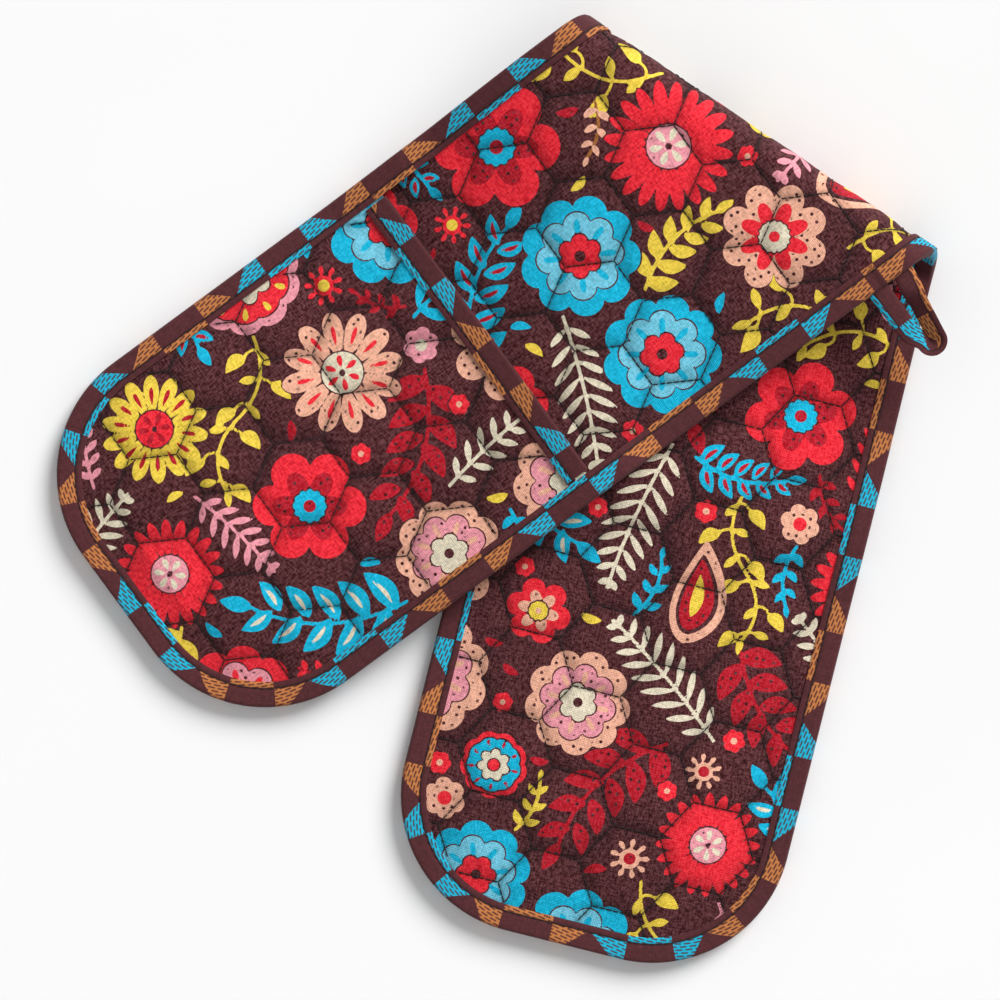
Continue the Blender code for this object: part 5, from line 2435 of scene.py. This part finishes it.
@dataclass(frozen=True)
class CheckTape:
    """Woven tape on the cloth's plum: pairs of slanted patches, and a third one on the inner lip.

    A set is two patches of one colour with bare tape between them; there the lip has its patch.
    Between sets a wedge of bare tape opens towards the edge.
    """

    effects: Effects
    roughness: float = 0.85
    sheen: float = 0.06
    warm: tuple[float, float, float] = (0.77, 0.48, 0.27)
    cool: tuple[float, float, float] = (0.10, 0.71, 0.84)
    set_length: float = 0.0618
    lip: float = 0.00792
    groove: float = 0.0003
    wedge_inside: float = 0.0009
    wedge_outside: float = 0.0095
    bare_half: float = 0.0125
    lip_half: float = 0.0122
    slow_scale: float = 30.0
    drift: float = 0.0012
    wander: tuple[float, float, float, float] = (0.3, 0.7, 0.85, 1.1)
    fray: float = 0.0005
    fray_scale: float = 1100.0
    edge: float = 0.00012
    thread_pitch: float = 0.0015
    thread_slant: float = 0.16
    thread_gap: tuple[float, float] = (-0.50, 0.10)
    dash: float = 0.0050
    dash_gap: tuple[float, float] = (-0.80, -0.30)
    gap_share: float = 0.92
    gap_depth: float = 0.90
    weave_pitch: float = 0.0007
    weave_height: float = 0.30
    relief: float = 0.00022
    grain: float = 0.22
    uneven: float = 0.5
    # Painted shade round the tape's rolled edge: the depths where it is strongest and where it ends, and
    # how far the check fades there towards the plum ground.
    rim: tuple[float, float, float] = (-0.0004, 0.0010, 0.35)
    lip_shade: tuple[float, float] = (0.0010, 0.45)

    def patches(self, nodes: Nodes, run: Socket, depth: Socket, wander: Socket) -> Socket:
        """1 on the patches, 0 on bare tape.

        Args:
            nodes: the material's helper.
            run: distances along the tape.
            depth: distances in from its folded edge.
            wander: how wide each wedge opens.

        Returns:
            The mask.
        """
        turns = nodes.math("FRACT", nodes.math("DIVIDE", run, self.set_length))
        local = nodes.math("MULTIPLY", turns, self.set_length)
        out = nodes.math("SUBTRACT", 1.0, nodes.math("DIVIDE", depth, self.lip))
        out = nodes.math("MULTIPLY", out, wander)
        wedge = nodes.math("MULTIPLY_ADD", out, self.wedge_outside, self.wedge_inside)
        from_middle = nodes.math("ABSOLUTE", nodes.math("SUBTRACT", local, self.set_length / 2))
        from_ends = nodes.math("SUBTRACT", self.set_length / 2, from_middle)
        outer = nodes.math("SUBTRACT", from_ends, wedge)
        outer = nodes.math("MINIMUM", outer, nodes.math("SUBTRACT", from_middle, self.bare_half))
        outer = nodes.math("MINIMUM", outer, nodes.math("SUBTRACT", self.lip - self.groove, depth))
        inner = nodes.math("SUBTRACT", self.lip_half, from_middle)
        inner = nodes.math("MINIMUM", inner, nodes.math("SUBTRACT", depth, self.lip + self.groove))
        return nodes.spread(nodes.math("MAXIMUM", outer, inner), -self.edge, self.edge)

    def gaps(self, nodes: Nodes, run: Socket, depth: Socket) -> Socket:
        """1 between the slanted dashes of coloured yarn, 0 on them.

        Args:
            nodes: the material's helper.
            run: distances along the tape.
            depth: distances in from its folded edge.

        Returns:
            The mask.
        """
        slanted = nodes.math("MULTIPLY_ADD", run, self.thread_slant, depth)
        threads = nodes.wave(slanted, self.thread_pitch)
        column = nodes.math("FLOOR", nodes.math("DIVIDE", slanted, self.thread_pitch))
        bricks = nodes.wave(nodes.math("MULTIPLY_ADD", column, self.dash / 2, run), self.dash)
        between = nodes.spread(threads, *self.thread_gap, 1.0, 0.0)
        return nodes.math("MULTIPLY", between, nodes.spread(bricks, *self.dash_gap))

    def build(self) -> bpy.types.Material:
        """Builds the material.

        Returns:
            The material.
        """
        material, nodes, shader = new_material("check_tape", self.roughness, self.sheen)
        tape = nodes.attribute("tape")
        run, _, depth = nodes.parts(tape)
        slow = nodes.noise(tape, self.slow_scale)
        fray = nodes.math("MULTIPLY", nodes.centred(nodes.noise(tape, self.fray_scale)), self.fray)
        slid = nodes.math("ADD", nodes.math("MULTIPLY_ADD", slow, self.drift, run), fray)
        patch = self.patches(nodes, slid, depth, nodes.spread(slow, *self.wander))
        which = nodes.math("FRACT", nodes.math("DIVIDE", slid, self.set_length * 2))
        yarn = nodes.mix(nodes.math("GREATER_THAN", which, 0.5), colour(self.warm), colour(self.cool))
        gap = self.gaps(nodes, run, depth)
        shown = nodes.math("MULTIPLY", patch, nodes.math("MULTIPLY_ADD", gap, -self.gap_share, 1.0))
        weave = nodes.group(self.effects.weave, Place=tape, Pitch=self.weave_pitch)
        level = nodes.math("MULTIPLY_ADD", weave.outputs["Speckle"], self.grain, 1.0)
        now = nodes.mix(shown, nodes.times(colour(GROUND), nodes.grey(level)), yarn)
        # Painted shade: the check fades partly towards the plum ground round the tape's rolled edge.
        now = nodes.mix(nodes.spread(depth, *self.rim, 0.0), now, colour(GROUND))
        from_lip = nodes.math("ABSOLUTE", nodes.math("SUBTRACT", depth, self.lip))
        now = nodes.times(now, nodes.grey(nodes.spread(from_lip, 0.0, *self.lip_shade, 1.0)))
        tint = nodes.group(self.effects.uneven, Place=tape, Amount=self.uneven)
        now = nodes.times(now, tint.outputs["Tint"])
        nodes.feed(shader.inputs["Base Color"], now)
        fine = nodes.math("MULTIPLY", weave.outputs["Height"], self.weave_height)
        dents = nodes.math("MULTIPLY", gap, patch)
        add_bump(nodes, shader, nodes.math("MULTIPLY_ADD", dents, -self.gap_depth, fine), self.relief)
        return material


@dataclass(frozen=True)
class SewingThread:
    """Twisted dark thread."""

    effects: Effects
    roughness: float = 0.60
    sheen: float = 0.10
    dark: tuple[float, float, float] = (0.07, 0.04, 0.04)
    light: tuple[float, float, float] = (0.15, 0.08, 0.09)
    twist: float = 0.0007
    ply_edge: float = 0.9
    relief: float = 0.00008
    uneven: float = 0.4

    def build(self) -> bpy.types.Material:
        """Builds the material.

        Returns:
            The material.
        """
        material, nodes, shader = new_material("sewing_thread", self.roughness, self.sheen)
        place = nodes.add("ShaderNodeTexCoord").outputs["Object"]
        x, y, z = nodes.parts(place)
        ply = nodes.wave(nodes.math("ADD", nodes.math("ADD", x, y), z), self.twist)
        share = nodes.spread(ply, -self.ply_edge, self.ply_edge)
        twisted = nodes.mix(share, colour(self.dark), colour(self.light))
        tint = nodes.group(self.effects.uneven, Place=place, Amount=self.uneven)
        nodes.feed(shader.inputs["Base Color"], nodes.times(twisted, tint.outputs["Tint"]))
        add_bump(nodes, shader, nodes.math("MULTIPLY_ADD", ply, 0.5, 0.5), self.relief)
        return material


# Each lamp's name and power, and in degrees its size, its tilt from straight down and its turn.
LAMPS = (("key", 3.25, 30.0, 56.0, 174.0), ("fill", 0.325, 60.0, 50.0, 20.0))


@dataclass(frozen=True)
class Studio:
    """The pale floor, the soft light and the camera over the glove."""

    floor_size: float = 60.0
    floor_drop: float = 0.0002
    middle: tuple[float, float, float] = (-0.0097, -0.0212, 0.020)
    view_width: float = 0.474
    distance: float = 1.60
    roll: float = math.radians(33.87)
    sensor: float = 36.0
    nearest: float = 0.01
    sky: float = 0.36
    floor_roughness: float = 0.9
    floor_greys: tuple[float, float] = (0.980, 0.990)
    cloud_scale: float = 5.0
    cloud_range: tuple[float, float] = (0.2, 0.8)

    def floor(self) -> None:
        """Makes the floor."""
        half = self.floor_size / 2
        surface = Surface()
        corners = [(-half, -half), (half, -half), (half, half), (-half, half)]
        points = np.array([(x, y, -self.floor_drop) for x, y in corners])
        surface.add(points, [np.array([[0, 1, 2, 3]])])
        plane = surface.build("pale_floor")
        material, nodes, shader = new_material("pale_floor", self.floor_roughness, 0.0)
        place = nodes.add("ShaderNodeTexCoord").outputs["Object"]
        cloud = nodes.spread(nodes.noise(place, self.cloud_scale), *self.cloud_range)
        greys = (colour((level, level, level)) for level in self.floor_greys)
        nodes.feed(shader.inputs["Base Color"], nodes.mix(cloud, *greys))
        plane.data.materials.append(material)

    def lights(self) -> None:
        """Makes the sky and the lamps."""
        world = bpy.data.worlds.new("studio")
        world.use_nodes = True
        bpy.context.scene.world = world
        sky = world.node_tree.nodes["Background"]
        sky.inputs["Color"].default_value = (1.0, 1.0, 1.0, 1.0)
        sky.inputs["Strength"].default_value = self.sky
        for name, power, spread, tilt, turn in LAMPS:
            lamp = bpy.data.lights.new(name, "SUN")
            lamp.energy = power
            lamp.angle = math.radians(spread)
            light = bpy.data.objects.new(name, lamp)
            light.rotation_euler = (math.radians(tilt), 0.0, math.radians(turn))
            bpy.context.collection.objects.link(light)

    def camera(self) -> None:
        """Makes the camera, which looks straight down."""
        data = bpy.data.cameras.new("camera")
        data.sensor_width = self.sensor
        data.lens = self.sensor * self.distance / self.view_width
        data.clip_start = self.nearest
        eye = bpy.data.objects.new("camera", data)
        x, y, z = self.middle
        eye.location = (x, y, z + self.distance)
        eye.rotation_euler = (0.0, 0.0, self.roll)
        bpy.context.collection.objects.link(eye)
        bpy.context.scene.camera = eye

    def build(self) -> None:
        """Makes everything round the glove."""
        self.floor()
        self.lights()
        self.camera()
        bpy.context.scene.view_settings.view_transform = "Standard"


@dataclass
class Dresser:
    """Builds the pieces, gives them their finish and puts those that ride on an arm, the loop and its
    tack on the bodies of the frame.
    """

    glove: Glove
    finishes: dict[str, bpy.types.Material]
    count: int = 0

    def finish(self, piece: bpy.types.Object, slot: str, *nodes: str) -> None:
        """Gives a piece its material in a new slot, hides the CAD nodes that it stands for, and counts
        it.

        Args:
            piece: the piece.
            slot: its slot, which also names its material.
            *nodes: the CAD nodes.
        """
        piece.data.materials.append(self.finishes[slot])
        if nodes:
            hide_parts(*nodes)
        self.count += 1
        LOG.info("%s: %d points", piece.name, len(piece.data.vertices))

    def across_fold(self, piece: bpy.types.Object, side: Side) -> None:
        """Bakes a piece of the strip into its place; both arms are treated alike.

        Args:
            piece: the piece.
            side: the arm.
        """
        if side is Side.RIGHT:
            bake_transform(piece)
        else:
            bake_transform(piece)

    def arm(self, weft: Weft, side: Side) -> None:
        """Builds and dresses the pieces of one arm and its half of the fold.

        Args:
            weft: what the cloth pieces share.
            side: the arm.
        """
        word = side.name.lower()
        place = {Side.LEFT: "upper", Side.RIGHT: "lower"}[side]
        strip, tape, pocket = Strip(weft), Tape(weft), Pocket.of(weft, side)
        layers = [f"{part}_{layer}" for part in (f"{word}_arm", "fold") for layer in STRIP_LAYERS]
        panel = [f"{word}_pocket_{layer}" for layer in POCKET_LAYERS]
        bindings, topstitches = (
            (f"{word}_arm_{arm_part}", f"fold_upper_left_{part}", f"fold_lower_right_{part}")
            for arm_part, part in (("edge_binding", "binding"), ("binding_topstitch", "topstitch"))
        )
        cotton, check, thread = "printed_cotton", "check_tape", "sewing_thread"
        bends, rides = True, False
        rows = (
            (strip.quilt(side, f"{place}_strip_quilt", layers), cotton, (), bends),
            (strip.stitches(side, f"{place}_strip_quilting"), thread, (), bends),
            (pocket.quilt(f"{word}_pocket_quilt", panel), cotton, (), rides),
            (pocket.stitches(f"{word}_pocket_quilting"), thread, (), rides),
            (tape.edge(side, f"{place}_edge_tape"), check, bindings, bends),
            (tape.edge_stitches(side, f"{place}_edge_topstitch"), thread, topstitches, bends),
            (tape.mouth(side, f"{word}_mouth_tape"), check, (f"{word}_mouth_binding",), rides),
            (tape.mouth_stitches(side, f"{word}_mouth_stitching"), thread,
             (f"{word}_mouth_topstitch",), rides),
        )
        for piece, slot, nodes, over_fold in rows:
            self.finish(piece, slot, *nodes)
            if over_fold:
                self.across_fold(piece, side)
            else:
                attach(piece, f"{word}_arm")

    def loop(self, weft: Weft) -> None:
        """Builds and dresses the hanging loop and its tack.

        Args:
            weft: what the cloth pieces share.
        """
        loop = HangingLoop(weft)
        hanging = loop.build("tape_loop")
        self.finish(hanging, "check_tape", "hanging_loop")
        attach(hanging, "hanging_loop")
        tack = loop.bar_tack("loop_tack_stitches")
        self.finish(tack, "sewing_thread", "loop_bar_tack")
        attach(tack, "left_arm")


def glove_from_frame(frame: dict) -> Glove:
    """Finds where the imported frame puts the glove.


    Returns:
        The glove's sizes and place.
    """
    plain = Glove((0.0, 0.0))
    joints = frame["record"]["behaviour"]["joints"]
    at = next(joint["pos_m"] for joint in joints if joint["name"] == "fold_lower")
    return Glove((at[0], at[1] - (plain.half_turn - plain.fold_radius + HINGE_INSET)))


def main() -> None:
    """Builds, dresses and lights the glove."""
    logging.basicConfig(level=logging.INFO, format="%(name)s: %(message)s")
    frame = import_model()
    glove = glove_from_frame(frame)
    weft = Weft(glove)
    effects = Effects.build()
    dresser = Dresser(glove, {
        "printed_cotton": PrintedCotton(effects).build(),
        "check_tape": CheckTape(effects).build(),
        "sewing_thread": SewingThread(effects).build(),
    })
    for side in Side:
        dresser.arm(weft, side)
    dresser.loop(weft)

    Studio().build()
    LOG.info("%d pieces dressed", dresser.count)


if __name__ == "__main__":
    main()
